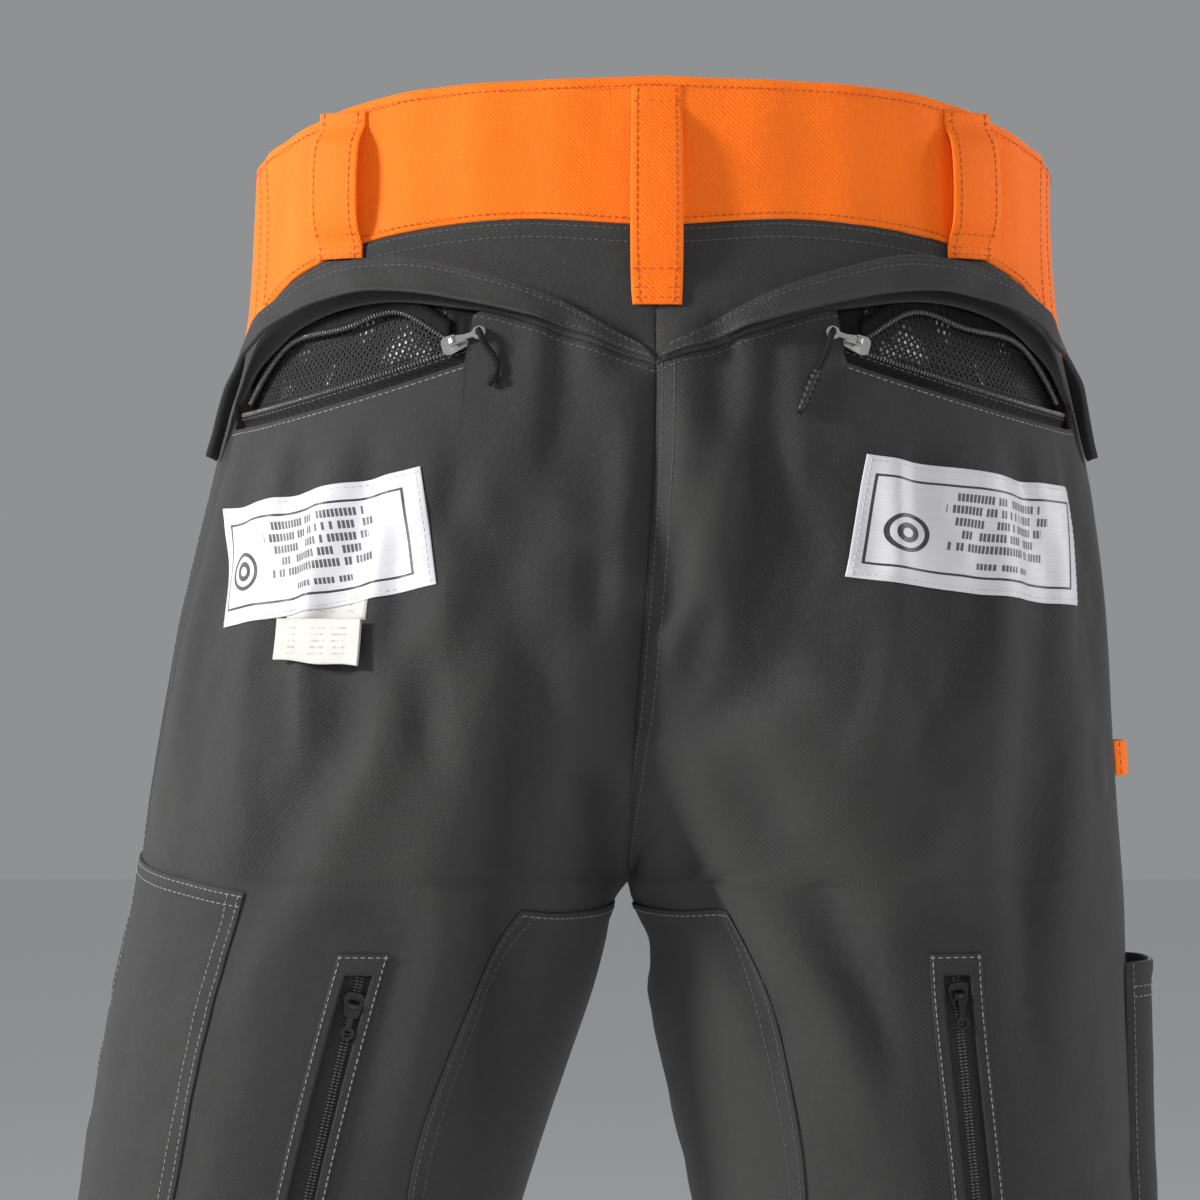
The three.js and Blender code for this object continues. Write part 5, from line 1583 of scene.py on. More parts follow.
# ------------------------------------------------------------------ waistband and belt loops
def waistband():
    across = run(760, 5)
    s, v = np.meshgrid(across * 2 - 1, run(68, 5), indexing="ij")
    u, side = both_sides(s)
    rolled = np.maximum(edge_round(s.shape[0])[:, None], edge_round(s.shape[1])[None, :])
    z = mix(line_height(BAND_SEAM, u), line_height(WAIST_TOP, u), v)
    ease = 0.8 * np.sin(s * 19) * np.sin(v * 3.1) + 0.5 * np.sin(s * 47 + 1)
    held = np.where(np.abs(s) < 0.02, 0.0, 1.0)
    outer = cloth(side, "back", u, z, 0.6 - rolled + ease * held)
    inner = cloth(side, "back", u, z, -FABRIC + rolled + ease * held)
    for layer in (outer, inner):
        layer[np.abs(s) < 1e-9, 0] = lean(layer[np.abs(s) < 1e-9, 2])
    worn = 0.4 * np.exp(-np.minimum(v, 1 - v) * 68 / 2.5)
    band = solid_sheet("waistband_back", outer, inner, FINISH["orange"], "trousers", worn=worn)
    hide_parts("waistband_back")
    sew(band, outer)
    for name, side in SIDES:
        cloth_sheet(
            f"waistband_front_{name}", side, "front",
            lambda a, b: (0.002 + 0.998 * a, mix(line_height(FRONT_BAND_SEAM, a), line_height(FRONT_TOP, a), b)),
            (330, 78), FINISH["orange"], thickness=FABRIC + 0.6, lift=0.6,
        )
    rust, t = "thread_orange", np.linspace(0.0, 0.995, 90)
    for side in (-1, 1):
        for face, seam, top in (("back", BAND_SEAM, WAIST_TOP), ("front", FRONT_BAND_SEAM, FRONT_TOP)):
            start = 0.003 if face == "back" else 0.01
            line = np.linspace(start, 0.993, 90)
            stitch_line("trousers", rust, side, face, line, line_height(seam, line) + 2.6, 1.35)
            stitch_line("trousers", rust, side, face, line, line_height(top, line) - 4.5, 1.35)
        for place, foot, top in ((0.79, 268, 348), (0.845, 262, 344)):
            v = np.linspace(0.03, 0.95, 24)
            u = place + 0.03 * v**2
            z = mix(line_height(BAND_SEAM, u), line_height(WAIST_TOP, u), v)
            stitch_line("trousers", rust, side, "back", u, z, 1.35)


def belt_loop(name, side, face, distance, low, high):
    """A strap that lies on the cloth at its two ends and stands off it between them, folded over at its foot."""
    steps = [0, 0.1, 0.2, 0.35, 0.65, 0.8, 0.9, 1]
    rise = through(np.c_[steps, [0, 0.02, 0.7, 1, 1, 0.7, 0.02, 0]], np.linspace(0, 1, 200))[:, 0]
    middle = float(across_to(side, face, distance, float(up((low + high) / 2))))
    scale = float(per_millimetre(side, face, middle, float(up((low + high) / 2))))
    a, b = run(LOOP_WIDTH, 3.4), run(high - low, 3.0)
    x, v = np.meshgrid((a - 0.5) * LOOP_WIDTH, b, indexing="ij")
    u = middle + x * scale
    here = np.where(u < 0, -side, side)
    u = np.abs(u)
    stand = 1.0 + np.interp(v, np.linspace(0, 1, 200), rise) * LOOP_GAP
    stand = stand + 0.55 * np.exp(-(((v * (high - low) - 7) / 5) ** 4)) - 0.35 * (np.abs(x) / 13) ** 6
    hem = 0.28 * np.exp(-((np.abs(np.abs(x) - 10.5) / 1.0) ** 2))
    rolled = np.maximum(edge_round(len(a))[:, None], edge_round(len(b))[None, :])
    z = up(mix(low, high, v))
    outer = cloth(here, face, u, z, stand + LOOP_THICKNESS - hem - rolled * 0.7)
    inner = cloth(here, face, u, z, stand + rolled * 0.7)
    worn = 0.45 * np.exp(-(13.5 - np.abs(x)) / 1.5)
    made = solid_sheet(name, outer, inner, FINISH["orange"], "trousers", worn=worn)
    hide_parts(name)

    def sewn(xs, vs):
        xs, vs = np.broadcast_arrays(np.asarray(xs, float), np.asarray(vs, float))
        uu = middle + xs * scale
        which = np.where(uu < 0, -side, side)
        level = 1.0 + np.interp(vs, np.linspace(0, 1, 200), rise) * LOOP_GAP + LOOP_THICKNESS - 0.1
        level = level + 0.55 * np.exp(-(((vs * (high - low) - 7) / 5) ** 4))
        zz = up(mix(low, high, vs))
        stitch(
            "trousers", "thread_orange", cloth(which, face, np.abs(uu), zz, level),
            cloth_normal(which, face, np.abs(uu), zz),
        )

    for xs in (-9.8, 9.8):
        sewn(xs, np.linspace(0.02, 0.98, 40))
    for vs in (0.03, 0.075, 0.155):
        sewn(np.linspace(-11, 11, 14), vs)
    for vs in (0.93,):
        sewn(np.linspace(-11, 11, 14), vs)


def belt_loops():
    belt_loop("belt_loop_back_middle", 1, "back", 0.5, 268, 371)
    for name, side in SIDES:
        belt_loop(f"belt_loop_back_{name}", side, "back", 148, 292, 362)
        belt_loop(f"belt_loop_front_{name}", side, "front", 118, 259, 322)


# ------------------------------------------------------------------ vents, their zips, nets and flaps
CHAIN_OUTER = CHAIN_HALF_GAP + CHAIN_WIDTH
COIL = (1.25, 2.5, 3.0)


def tape_sheet(name, points, normals, finish, body, thickness=TAPE_THICKNESS):
    outer = points + normals * thickness / 2
    inner = points - normals * thickness / 2
    return solid_sheet(name, outer, inner, finish, body)


def grid_normals(points):
    across = np.gradient(points, axis=0)
    along = np.gradient(points, axis=1)
    return unit(np.cross(across, along))


def coil_row(name, lines, body):
    """Rows of a zip's coil: loops side by side across the edge of the tape."""
    loops = small_shape("coil_loop", bead(1.3, 2.9, 3.1, 8, 6))
    row = copies_along(name, lines, loops, 1.6, FINISH["coil"], body)
    return row


def vent_zip(name, side):
    arc = ARCS[side]
    t = np.linspace(-arc["share"] * 0.5, 1.0, 80)
    across = np.array([2.4, 3.4, 4.3, TAPE_FREE, 5.9, 6.6, 8.5, 11.0, 14.0])
    tt, xx = np.meshgrid(t, across, indexing="ij")
    cone = arc["at"](tt, -xx, 0.0)
    u = across_to(side, "back", side * (cone[..., 0] - lean(cone[..., 2])), cone[..., 2])
    behind = cloth(side, "back", u, cone[..., 2], TAPE_DEPTH)
    share = smoothstep(xx, TAPE_FREE - 0.1, 6.7)[..., None]
    points = cone * (1 - share) + behind * share
    normals = grid_normals(points)
    facing = np.sign((normals * arc["outwards"](tt)).sum(-1)).mean()
    tape = tape_sheet(f"vent_zip_fixed_{name}", points, normals * facing, FINISH["tape"], "trousers")
    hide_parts(f"vent_zip_fixed_{name}")
    row_t = np.linspace(-arc["share"] * 0.5, 1.0, 140)
    line = arc["at"](row_t, -(CHAIN_HALF_GAP + CHAIN_WIDTH / 2), 0.0)
    coil_row(f"vent_coil_fixed_{name}", [(line, arc["outwards"](row_t))], "trousers")
    mid = arc["at"](row_t, -4.4, TAPE_THICKNESS / 2 + 0.05)
    stitch("trousers", "thread_dark", mid, arc["outwards"](row_t))

    a, b = np.meshgrid(np.linspace(VENT_INNER - 0.015, 0.31, 8), np.linspace(0, 1, 16), indexing="ij")
    level = mix(zip_height(side, a) - LIP_DROP - 4, line_height(YOKE_SEAM, a) + 5, b)
    end_points = cloth(side, "back", a, level, -6.4)
    end = tape_sheet(
        f"vent_zip_end_{name}", end_points, cloth_normal(side, "back", a, level), FINISH["tape"], "trousers"
    )

    # The free half bows up behind the yoke's edge.
    s = np.linspace(0, 1, 80)
    u = mix(OPEN_ZIP_LINE[0][0], OPEN_ZIP_LINE[-1][0], s)
    depth = -FABRIC - LAYER_GAP - CHAIN_HEIGHT / 2
    over = np.array([-0.2, 1.4, 3.2, 5.0, 8.5])
    uu, oo = np.meshgrid(u, over, indexing="ij")
    zz = line_height(OPEN_ZIP_LINE, uu) + oo
    free_points = cloth(side, "back", uu, zz, depth)
    free_normals = cloth_normal(side, "back", uu, zz)
    free = tape_sheet(f"vent_zip_free_{name}", free_points, free_normals, FINISH["tape"], "trousers")
    row_u = np.linspace(u[0], u[-1], 140)
    row_z = line_height(OPEN_ZIP_LINE, row_u) - 0.9
    free_line = cloth(side, "back", row_u, row_z, depth)
    free_coil = coil_row(
        f"vent_coil_free_{name}", [(free_line, cloth_normal(side, "back", row_u, row_z))], "trousers"
    )
    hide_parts(f"vent_zip_free_{name}")
    anchor = (arc["at"](0.5, 3.5, 0.0) + SHIFT) * 0.001
    for piece in (free, free_coil):
        tuple(arc["axis"])
        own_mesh(piece)


NET_STRETCH = 1.3


def vent_net(name, side):
    """The net behind a vent's mouth, over a backing, sewn in flat and slack between its seams."""
    sewn = -FABRIC - LAYER_GAP
    slack = ZIP_DEPTH - CHAIN_HEIGHT / 2 - 0.6 - 1.1 - 2.4

    def levels(u):
        low = zip_height(side, u)
        high = line_height(YOKE_SEAM, u)
        rows = np.stack([
            low - 22, low - 17, low - 8, np.maximum(line_height(OPEN_ZIP_LINE, u), low + 6), high + 14, high + 19,
        ], -1)
        return rows, np.array([sewn, sewn, slack, slack, sewn - 2, sewn])

    def at(u, v, lift):
        rows, depths = levels(u)
        places = np.linspace(0, 1, 6)
        k = np.clip((v * 5).astype(int), 0, 4)
        t = v * 5 - k
        take = lambda values, shift: np.take_along_axis(values, (k + shift)[..., None], -1)[..., 0]
        z = mix(take(rows, 0), take(rows, 1), t)
        depth = mix(depths[k], depths[np.minimum(k + 1, 5)], t)
        return cloth(side, "back", u, z, depth + lift)

    u, v = np.meshgrid(np.linspace(VENT_INNER - 0.05, VENT_OUTER + 0.07, 60), np.linspace(0, 1, 26), indexing="ij")
    back = solid_sheet(
        f"vent_mesh_{name}", at(u, v, -0.5), at(u, v, -0.9), FINISH["net_back"], "trousers", worn=0.0
    )
    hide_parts(f"vent_mesh_{name}")
    sew(back, at(u, v, 0.0))
    lines = []
    pitch = 3.3
    columns = np.linspace(VENT_INNER - 0.02, VENT_OUTER + 0.03, 120)
    low = zip_height(side, columns)
    for k in range(-4, 14):
        level = (k + 0.5) * pitch * 0.866 * NET_STRETCH
        z = low + 1.0 + level
        top = line_height(YOKE_SEAM, columns) + 6
        inside = z < top
        if not inside.any():
            continue
        rows, depths = levels(columns)
        depth = np.where(z < rows[:, 2], np.interp(z - low, [-17, -8], [sewn, slack]), slack)
        depth = np.where(z > rows[:, 3], mix(slack, sewn - 2, np.clip((z - rows[:, 3]) / (rows[:, 4] - rows[:, 3]), 0, 1)), depth)
        line = cloth(side, "back", columns, z, depth - 0.1)
        outward = cloth_normal(side, "back", columns, z)
        start = 0 if k % 2 == 0 else 1
        keep = np.nonzero(inside)[0]
        for part in np.split(keep, np.nonzero(np.diff(keep) > 1)[0] + 1):
            if len(part) > 3:
                piece = line[part]
                if start:
                    step = unit(piece[1] - piece[0]) * pitch / 2
                    piece = np.concatenate([[piece[0] + step], piece[1:]])
                lines.append((piece, outward[part]))
    cell = small_shape("net_cell", ring(1.95, 0.85, 0.5))
    net = copies_along(
        f"vent_net_{name}", lines, cell, pitch, FINISH["net"], "trousers", size=(1, NET_STRETCH, 1)
    )


def vent_flap(name, side):
    """The storm flap over a vent, pushed up: a crescent of doubled cloth from the middle seam to the side."""
    last = len(FLAP_FOLD) - 1
    knots = np.arange(last + 1)
    low = lambda t: through(np.c_[knots, FLAP_FOLD], t)
    high = lambda t: through(np.c_[knots, FLAP_EDGE], t)
    t, v = np.meshgrid(run(300, 3.2) * last, run(30, 2.4), indexing="ij")

    def place(t, v):
        a, b = low(t), high(t)
        share = 0.42 + (v - 0.42) * (1 - 0.8 * smoothstep(t, last - 1.6, last + 0.1))
        u = mix(a[..., 0], b[..., 0], share)
        return np.maximum(u, 0.004), up(mix(a[..., 1], b[..., 1], share))

    def standing(t, u, v):
        """How far the flap stands off: at the side its free edge lies close to the hip."""
        wave = 0.9 * np.sin(t * 2.6 + side) * smoothstep(u, 0.1, 0.3) + 0.5 * np.sin(t * 6.1)
        droop = mix(0.25, 0.85, smoothstep(u, 0.72, 0.92))
        return through(FLAP_LIFT, u)[..., 0] * (1 - droop * v) + wave * smoothstep(u, 0.05, 0.2) * (1 - droop)

    u, z = place(t, v)
    stand = standing(t, u, v)
    swell = 1.1 * np.exp(-((v * 30 / 5.0) ** 2)) * smoothstep(u, 0.05, 0.2)
    dent = 0.35 * np.exp(-(((v - 0.16) * 30 / 1.2) ** 2)) + 0.35 * np.exp(-(((v - 0.74) * 30 / 1.2) ** 2))
    rolled = np.maximum(edge_round(t.shape[0])[:, None], edge_round(t.shape[1])[None, :])
    outer = cloth(side, "back", u, z, stand + FABRIC + swell - dent - rolled)
    inner = cloth(side, "back", u, z, stand + rolled)
    worn = 0.55 * np.exp(-v * 30 / 2.5) + 0.3 * np.exp(-(1 - v) * 30 / 2.0)
    made = solid_sheet(f"vent_flap_{name}", outer, inner, FINISH["flap_inside"], None, worn=worn)
    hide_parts(f"vent_flap_{name}")
    sew(made, outer)
    lines = []
    for share in (0.16, 0.74, 0.86):
        line_t = np.linspace(0.08, last - 0.08, 90)
        uu, zz = place(line_t, share + 0 * line_t)
        level = standing(line_t, uu, share) + FABRIC - 0.2
        lines.append((cloth(side, "back", uu, zz, level), cloth_normal(side, "back", uu, zz)))
    shape = small_shape("stitch", bead(2.7, 0.62, 0.5, 6, 4))
    rows = copies_along(f"flap_stitches_{name}", lines, shape, 3.4, FINISH["thread_dark"], "trousers", uneven=0.08)
    rows.parent = None
    middle = (lean(up(245)) + SHIFT[0]) * 0.001
    start, end = (middle, -0.1, 1.045), (middle + side * 0.07, -0.1, 1.045)
    for piece in (made, rows):
        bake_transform(piece, "trousers", f"vent_flap_{name}", start=start, end=end)


# ------------------------------------------------------------------ straight zips, plackets and the fly
def straight_frame(low, high, outside):
    rise = unit(high - low)
    across = unit(np.cross(rise, outside))
    return low, across, rise, np.cross(across, rise)


def straight_zip(name, place, length, behind, finish):
    origin, across, rise, out = place

    def at(x, y, z):
        x, y, z = (np.asarray(part, float)[..., None] for part in (x, y, z))
        return origin + across * x + rise * y + out * z

    halves = []
    for turn in (-1, 1):
        y = np.linspace(0, length, 60)
        x = np.array([0.2, 1.2, 2.4, 4.0, TAPE_FREE, 6.6, 9.0, 13.5])
        yy, xx = np.meshgrid(y, x, indexing="ij")
        ahead = at(turn * xx, yy, STRAIGHT_DEPTH)
        back = behind(turn * xx, yy)
        share = smoothstep(xx, TAPE_FREE - 0.1, 7.0)[..., None]
        halves.append(ahead * (1 - share) + back * share)
    whole = np.concatenate([halves[0][:, ::-1], halves[1]], axis=1)
    normals = grid_normals(whole)
    facing = np.sign((normals @ out).mean())
    tape = tape_sheet(f"{name}_zip", whole, normals * facing, finish, "trousers")
    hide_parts(f"{name}_zip")
    y = np.linspace(1, length - 1, 160)
    lines = [(at(turn * 1.15 + 0 * y, y, STRAIGHT_DEPTH), np.broadcast_to(out, (160, 3))) for turn in (-1, 1)]
    coil_row(f"{name}_coil", lines, "trousers")


def leg_vent(name, side):
    u = LEG_VENT_U[name]
    at = lambda z, lift=0.0: bare(side, "back", u, z, lift)
    centre = (LEG_VENT_TOP + LEG_VENT_FOOT) / 2
    place = straight_frame(at(LEG_VENT_FOOT), at(LEG_VENT_TOP), at(centre, 1.0) - at(centre))

    def behind(across, along):
        z = LEG_VENT_FOOT + along
        turned = across * side * per_millimetre(side, "back", u, z)
        return cloth(side, "back", u + turned, z, TAPE_DEPTH - 1.3)

    straight_zip(f"leg_vent_{name}", place, LEG_VENT_TOP - LEG_VENT_FOOT, behind, FINISH["patch"])

    half = ZIP_SLOT / 2
    reach = LEG_VENT_WIDTH / 2
    tall = LEG_VENT_TOP - LEG_VENT_FOOT
    ends = (SLOT_END / tall, 1 - SLOT_END / tall)
    sides = (0.5 - half / LEG_VENT_WIDTH, 0.5 + half / LEG_VENT_WIDTH)

    def where(a, b):
        z = mix(LEG_VENT_FOOT, LEG_VENT_TOP, b)
        return u + (a - 0.5) * 2 * reach * per_millimetre(side, "back", u, z), z

    def keep(a, b):
        centre_a = (a[:-1, :-1] + a[1:, 1:]) / 2
        centre_b = (b[:-1, :-1] + b[1:, 1:]) / 2
        inside = (centre_a > sides[0]) & (centre_a < sides[1]) & (centre_b > ends[0]) & (centre_b < ends[1])
        return ~inside

    cloth_sheet(
        f"leg_vent_{name}_placket", side, "back", where, (LEG_VENT_WIDTH, tall), FINISH["patch"],
        thickness=TRIM, lift=TRIM + 0.15, columns=np.unique(np.r_[run(LEG_VENT_WIDTH, 2.4), sides]),
        rows=np.unique(np.r_[run(tall, 4), ends]), keep=keep, declare=False,
    )
    z = np.linspace(LEG_VENT_FOOT + 1.6, LEG_VENT_TOP - 1.6, 60)
    for x in (-reach + 1.6, reach - 1.6):
        stitch_line(
            "trousers", "thread_pale", side, "back", u + x * per_millimetre(side, "back", u, z), z, TRIM + 0.2
        )
    for level in (LEG_VENT_FOOT + 1.6, LEG_VENT_TOP - 1.6):
        x = np.linspace(-reach + 1.6, reach - 1.6, 8)
        stitch_line(
            "trousers", "thread_pale", side, "back", u + x * per_millimetre(side, "back", u, level), level + 0 * x,
            TRIM + 0.2,
        )


def fly():
    middle = lambda z, lift=0.0: np.array([float(lean(z)), *bare(1, "front", 0.0, z, lift)[1:]])
    place = straight_frame(middle(FLY_FOOT), middle(FLY_FOOT + FLY_LENGTH), np.array([0.0, 1.0, 0.0]))

    def on_front(across, z, lift):
        side = np.where(across < 0, -1, 1)
        u = np.abs(across) * np.where(
            side < 0, per_millimetre(-1, "front", 0.02, z), per_millimetre(1, "front", 0.02, z)
        )
        return cloth(side, "front", u, z, lift)

    straight_zip(
        "fly", place, FLY_LENGTH, lambda across, along: on_front(-across, FLY_FOOT + along, TAPE_DEPTH - 1.3),
        FINISH["tape"],
    )
    a, b = run(46, 3), run(FLY_LENGTH + 8, 4)
    x, v = np.meshgrid(mix(-27.6, 18.4, a), b, indexing="ij")
    z = FLY_FOOT - 4 + v * (FLY_LENGTH + 8)
    stand = 0.8 + (FLY_STAND - 0.8) * smoothstep(x, -27.6, -10) * (1 - smoothstep(x, 1, 18.4))
    rolled = np.maximum(edge_round(len(a))[:, None], edge_round(len(b))[None, :])
    outer = on_front(x, z, stand + FABRIC - rolled)
    inner = on_front(x, z, stand + rolled)
    worn = 0.4 * np.exp(-np.minimum(a, 1 - a)[:, None] * 46 / 2.0) + 0 * z
    flap = solid_sheet("fly_flap", outer, inner, FINISH["shell"], "fly_flap", worn=worn)
    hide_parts("fly_flap")
    sew(flap, outer)
    for edge in (-25.0, 15.4):
        zz = np.linspace(FLY_FOOT, FLY_FOOT + FLY_LENGTH, 40)
        level = 0.8 + (FLY_STAND - 0.8) * float(smoothstep(edge, -27.6, -10)) * (1 - float(smoothstep(edge, 1, 18.4)))
        which = -1 if edge < 0 else 1
        uu = abs(edge) * per_millimetre(which, "front", 0.02, zz)
        stitch(
            "fly_flap", "thread_dark", on_front(edge + 0 * zz, zz, level + FABRIC - 0.15),
            cloth_normal(which, "front", uu, zz),
        )


# ------------------------------------------------------------------ labels, patches and the pocket
def patch_grid(side, corners, a, b):
    """u and z of a patch whose corners are given as distance across and height, low inner to high inner."""
    low_in, low_out, high_out, high_in = corners
    spot = lambda k, across, v: mix(mix(low_in[k], low_out[k], across), mix(high_in[k], high_out[k], across), v)
    inner, outer = spot(0, 0, b), spot(0, 1, b)
    z = up(spot(1, 0.5, b))
    u = np.zeros(z.shape)
    for _ in range(4):
        u = mix(across_to(side, "back", inner, z), across_to(side, "back", outer, z), a)
        share = (side * (bare(side, "back", u, z)[..., 0] - lean(z)) - inner) / (outer - inner)
        z = up(spot(1, share, b))
    return u, z


def labels():
    for name, side in SIDES:
        corners = LABELS[name]
        grid = lambda a, b, side=side, corners=corners: patch_grid(side, corners, a, b)
        flip = side < 0  # the print reads from the wearer's left on both labels

        def printing(a, b, flip=flip):
            return {"print_x": 1 - a if flip else a, "print_y": b}

        def stand(a, b, side=side):
            edge = np.minimum(np.minimum(a, 1 - a) * 117, np.minimum(b, 1 - b) * 56)
            ripple = 0.35 * np.sin(a * 58 + 3 * b) * np.exp(-np.abs(b - 0.5 + 0.5 * np.sign(b - 0.5)) * 7)
            puff = 0.9 * smoothstep(edge, 1.5, 12)
            return 0.9 + puff + ripple * smoothstep(edge, 0, 3) * (1 - smoothstep(edge, 6, 14))

        cloth_sheet(
            f"label_{name}", side, "back", grid, (117, 56), FINISH["satin"], thickness=0.7,
            lift=stand, step=2.2, extra=printing,
        )
        rim = 2.2
        for a0, b0, a1, b1 in (
            (rim / 117, rim / 56, 1 - rim / 117, rim / 56), (rim / 117, 1 - rim / 56, 1 - rim / 117, 1 - rim / 56),
            (rim / 117, rim / 56, rim / 117, 1 - rim / 56), (1 - rim / 117, rim / 56, 1 - rim / 117, 1 - rim / 56),
        ):
            t = np.linspace(0, 1, 40)
            a, b = mix(a0, a1, t), mix(b0, b1, t)
            u, z = patch_grid(side, corners, a, b)
            stitch_line("trousers", "thread_white", side, "back", u, z, stand(a, b).mean() + 0.05)


def care_tag():
    """A loop of ivory tape, sewn in under the left label, folded at its foot."""
    top = float(up(122.2))
    u = float(across_to(-1, "back", 150.0, top))
    at = lambda du, lift: bare(-1, "back", u + du, top, lift)
    across = unit(at(-0.02, 0.0) - at(0.02, 0.0))
    out = at(0.0, 1.0) - at(0.0, 0.0)
    rise = np.cross(out, across)
    origin = at(0.0, (0.8 + TAG_THICKNESS) / 2)
    width, tall = TAG_SIZE
    turn = np.linspace(-math.pi / 2, math.pi / 2, 9)
    fold_half = 0.6
    front = [(v, fold_half) for v in np.linspace(0, -tall + 1.2, 20)]
    bend = [(-tall + 1.2 - 1.0 * math.cos(k), -fold_half * math.sin(k)) for k in turn]
    back = [(v, -fold_half) for v in np.linspace(-tall + 1.2, -1.0, 16)]
    middle = np.array(front + bend[1:-1] + back)
    tangent = unit(np.gradient(middle, axis=0))
    away = np.stack([-tangent[:, 1], tangent[:, 0]], -1)
    if (away[0] @ [0, 1]) < 0:
        away = -away
    a = run(width, 3)
    half = 0.16

    def layer(offset):
        line = middle + away * offset
        x = (a[:, None] - 0.5) * width
        share = np.clip(-line[:, 0] / tall, 0, 1)
        sag = (0.8 * np.sin(a * 5.0 + 0.4)[:, None] + 1.9 * share) * share
        skew = -(a[:, None] - 0.5) * 2.6 * share - 0.5 * np.cos((a[:, None] - 0.5) * 9) * share**4
        return (
            origin + across * x[..., None] + rise * (line[:, 0] + skew)[..., None]
            + out * (line[:, 1] + sag * 0.6 + 0.25)[..., None]
        )

    made = solid_sheet("care_tag", layer(half), layer(-half), FINISH["care"], "care_tag")
    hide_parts("care_tag")
    seam_z = np.linspace(float(up(121.9)), float(up(136)), 8)
    reach = np.linspace(-width / 2, width / 2, 14) * float(per_millimetre(-1, "back", u, top))
    uu, zz = np.meshgrid(u + reach, seam_z, indexing="ij")
    outer, inner = (cloth(-1, "back", uu, zz, level) for level in (0.3, 0.05))
    strip = solid_sheet("care_tag_seam", outer, inner, FINISH["care"], "trousers")


def on_side(across, z, lift):
    """A point over the cloth at the right leg's outer side, at a distance round from the side seam."""
    across, z = np.broadcast_arrays(np.asarray(across, float), np.asarray(z, float))
    angle = math.pi + across / tube(1, z)[3 - 1]
    level = np.asarray(lift, float) + fold(1, "back", np.ones(z.shape), z)
    return on_tube(1, z, angle) + tube_normal(1, z, angle) * level[..., None]


def pocket_and_tab():
    width, tall = POCKET_SIZE
    top = LEG_VENT_TOP - 10
    bulge = lambda x, z: 0.4 + 10.6 * (1 - (np.abs(x) / (width / 2)) ** 4) * smoothstep(z, top - tall, top - tall + 26)
    x, z = np.meshgrid((run(width, 4) - 0.5) * width, top - tall + run(tall, 5) * tall, indexing="ij")
    rolled = np.maximum(edge_round(x.shape[0])[:, None], edge_round(x.shape[1])[None, :])
    lift = bulge(x, z) + 1.3 * np.exp(-(((top - z) / 9) ** 6)) * (1 - (np.abs(x) / (width / 2)) ** 4)
    outer = on_side(x, z, lift + 1.6 - rolled * 0.7)
    inner = on_side(x, z, bulge(x, z) + rolled * 0.7)
    edge = np.minimum(width / 2 - np.abs(x), z - (top - tall))
    pocket = solid_sheet("ruler_pocket", outer, inner, FINISH["patch"], "trousers", worn=0.4 * np.exp(-edge / 2.5))
    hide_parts("ruler_pocket")
    sew(pocket, outer)

    def sewn(thread, xs, zs, level):
        xs, zs = np.broadcast_arrays(np.asarray(xs, float), np.asarray(zs, float))
        points = on_side(xs, zs, level)
        outward = unit(on_side(xs, zs, np.asarray(level) + 1.0) - points)
        stitch("trousers", thread, points, outward)

    line_z = np.linspace(top - tall + 3, top - 2, 50)
    for x0 in (-width / 2 + 2.4, width / 2 - 2.4):
        sewn("thread_pale", x0, line_z, bulge(x0 + 0 * line_z, line_z) + 1.75)
    line_x = np.linspace(-width / 2 + 3, width / 2 - 3, 24)
    sewn("thread_pale", line_x, top - tall + 2.6, bulge(line_x, top - tall + 2.6 + 0 * line_x) + 1.75)
    for drop in (12.0, 17.0):
        sewn("thread_pale", line_x, top - drop, bulge(line_x, top - drop + 0 * line_x) + 2.0)

    a, b = run(21, 2), run(17, 2)
    x, v = np.meshgrid((a - 0.5) * 21, b, indexing="ij")
    z = up(mix(45, 62, v))
    stand = 0.6 + 6.2 * (1 - (np.abs(x) / 10.5) ** 2.4)
    rolled = np.maximum(edge_round(len(a))[:, None], edge_round(len(b))[None, :])
    tab = solid_sheet(
        "side_tab", on_side(x, z, stand + 1.4 - rolled * 0.6), on_side(x, z, stand + rolled * 0.6),
        FINISH["orange"], "trousers", worn=0.2,
    )
    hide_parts("side_tab")
    for x0 in (-8.8, 8.8):
        zs = np.linspace(float(up(47)), float(up(60)), 6)
        sewn("thread_orange", x0, zs, 0.6 + 6.2 * (1 - (abs(x0) / 10.5) ** 2.4) + 1.45)


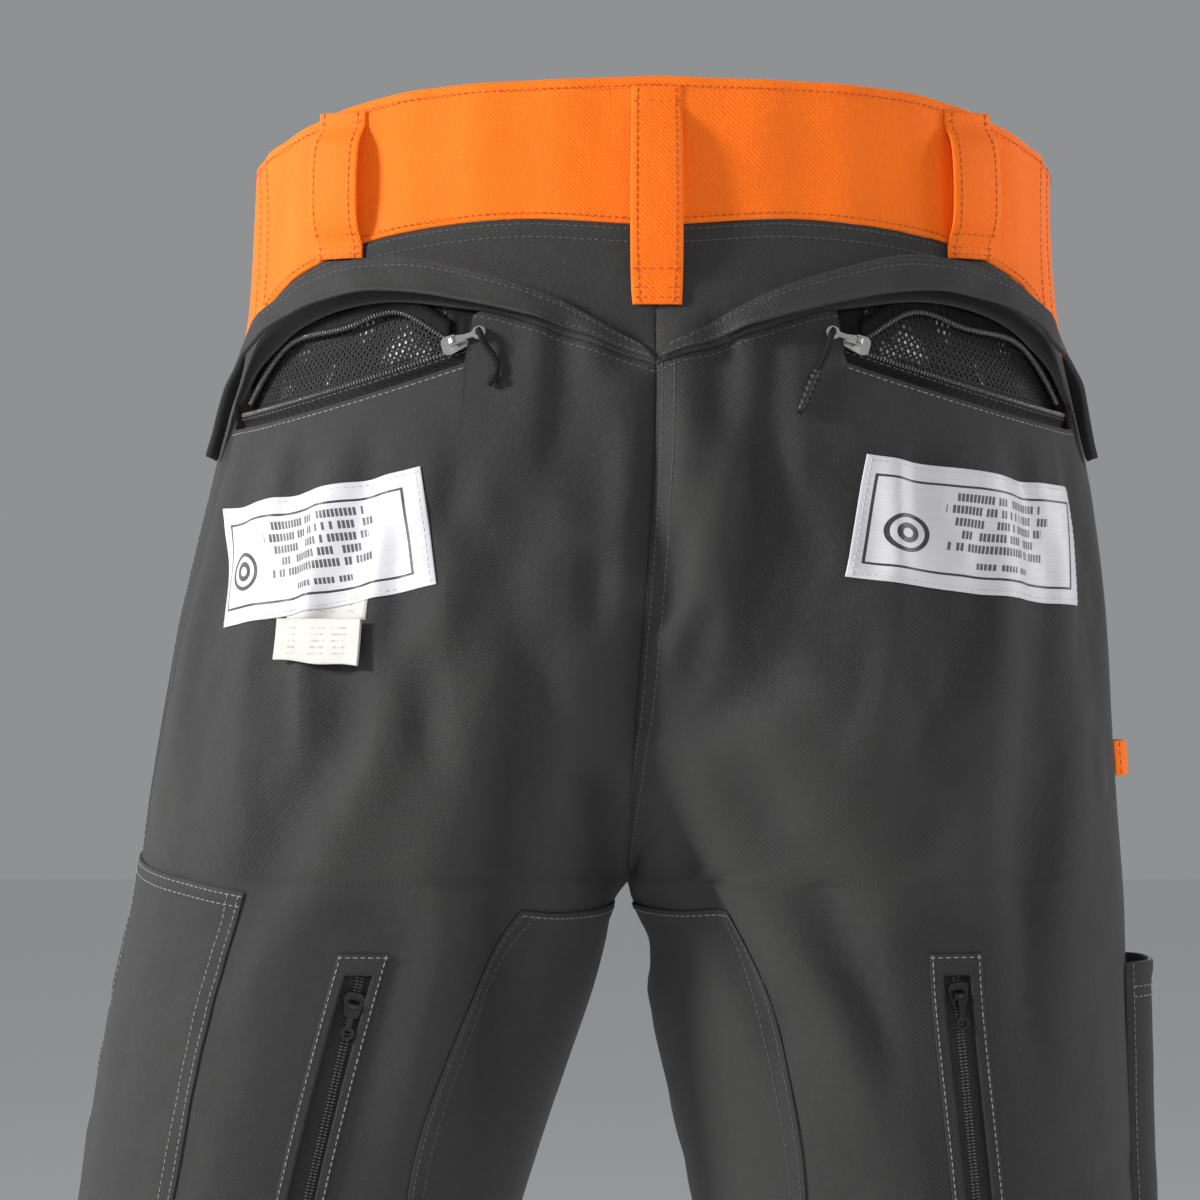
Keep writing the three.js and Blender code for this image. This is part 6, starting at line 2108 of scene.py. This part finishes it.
def patches():
    for name, side in SIDES:
        edge = [(540, 0.28), (660, 0.35), (735, 0.34), (790, 0.29)]

        def where(a, b, side=side):
            z = mix(540.0, 785.0, b)
            outer_edge = through(edge, z)[..., 0]
            inner_edge = 0.083 * 0 + 4.0 * per_millimetre(side, "back", 0.05, z)
            return mix(inner_edge, outer_edge, a), z

        cloth_sheet(
            f"inner_thigh_patch_{name}", side, "back", where, (105, 245), FINISH["shell"],
            thickness=TRIM, lift=TRIM + 0.2, step=4.2,
        )
        z = np.linspace(543.0, 782.0, 70)
        outer_edge = through(edge, z)[..., 0]
        for offset in (2.2, 7.6):
            stitch_line(
                "trousers", "thread_dark", side, "back",
                outer_edge - offset * per_millimetre(side, "back", outer_edge, z), z, TRIM + 0.3,
            )
        a = np.linspace(0.03, 0.97, 30)
        for level in (0.012, 0.99):
            u, z = where(a, level + 0 * a)
            stitch_line("trousers", "thread_pale" if level > 0.5 else "thread_dark", side, "back", u, z, TRIM + 0.3)

    def side_where(a, b):
        u = mix(0.66, 0.975, a)
        return u, mix(610.0, up(-6 + 14 * a), b)

    cloth_sheet(
        "side_patch_left", -1, "back", side_where, (95, 190), FINISH["shell"], thickness=TRIM,
        lift=TRIM + 0.2, step=4.2,
    )
    t = np.linspace(0.015, 0.985, 50)
    for inset in (0.022, 0.075):
        for a, b in ((inset + 0 * t, t), (t, 1 - inset / 2 + 0 * t), (t, inset / 2 + 0 * t), (1 - inset + 0 * t, t)):
            u, z = side_where(a, b)
            stitch_line("trousers", "thread_pale", -1, "back", u, z, TRIM + 0.3)


def metal_and_button():
    for node in NODES:
        if "slider" in node or "pull" in node:
            part = NODES[node]
            part.data.materials.clear()
            part.data.materials.append(FINISH["nickel" if node.startswith("vent") else "gunmetal"])
    button = NODES["waist_button"]
    button.data.materials.clear()
    button.data.materials.append(FINISH["button"])


for cord_name in ("left", "right"):
    pull_cord(cord_name)
for side_name, side_sign in SIDES:
    panels(side_name, side_sign)
    inner_layers(side_name, side_sign)
    vent_zip(side_name, side_sign)
    vent_net(side_name, side_sign)
    vent_flap(side_name, side_sign)
    leg_vent(side_name, side_sign)
waistband()
belt_loops()
labels()
care_tag()
fly()
patches()
pocket_and_tab()
metal_and_button()
finish_stitches()
for spare in SHAPES.values():
    bpy.data.objects.remove(spare)
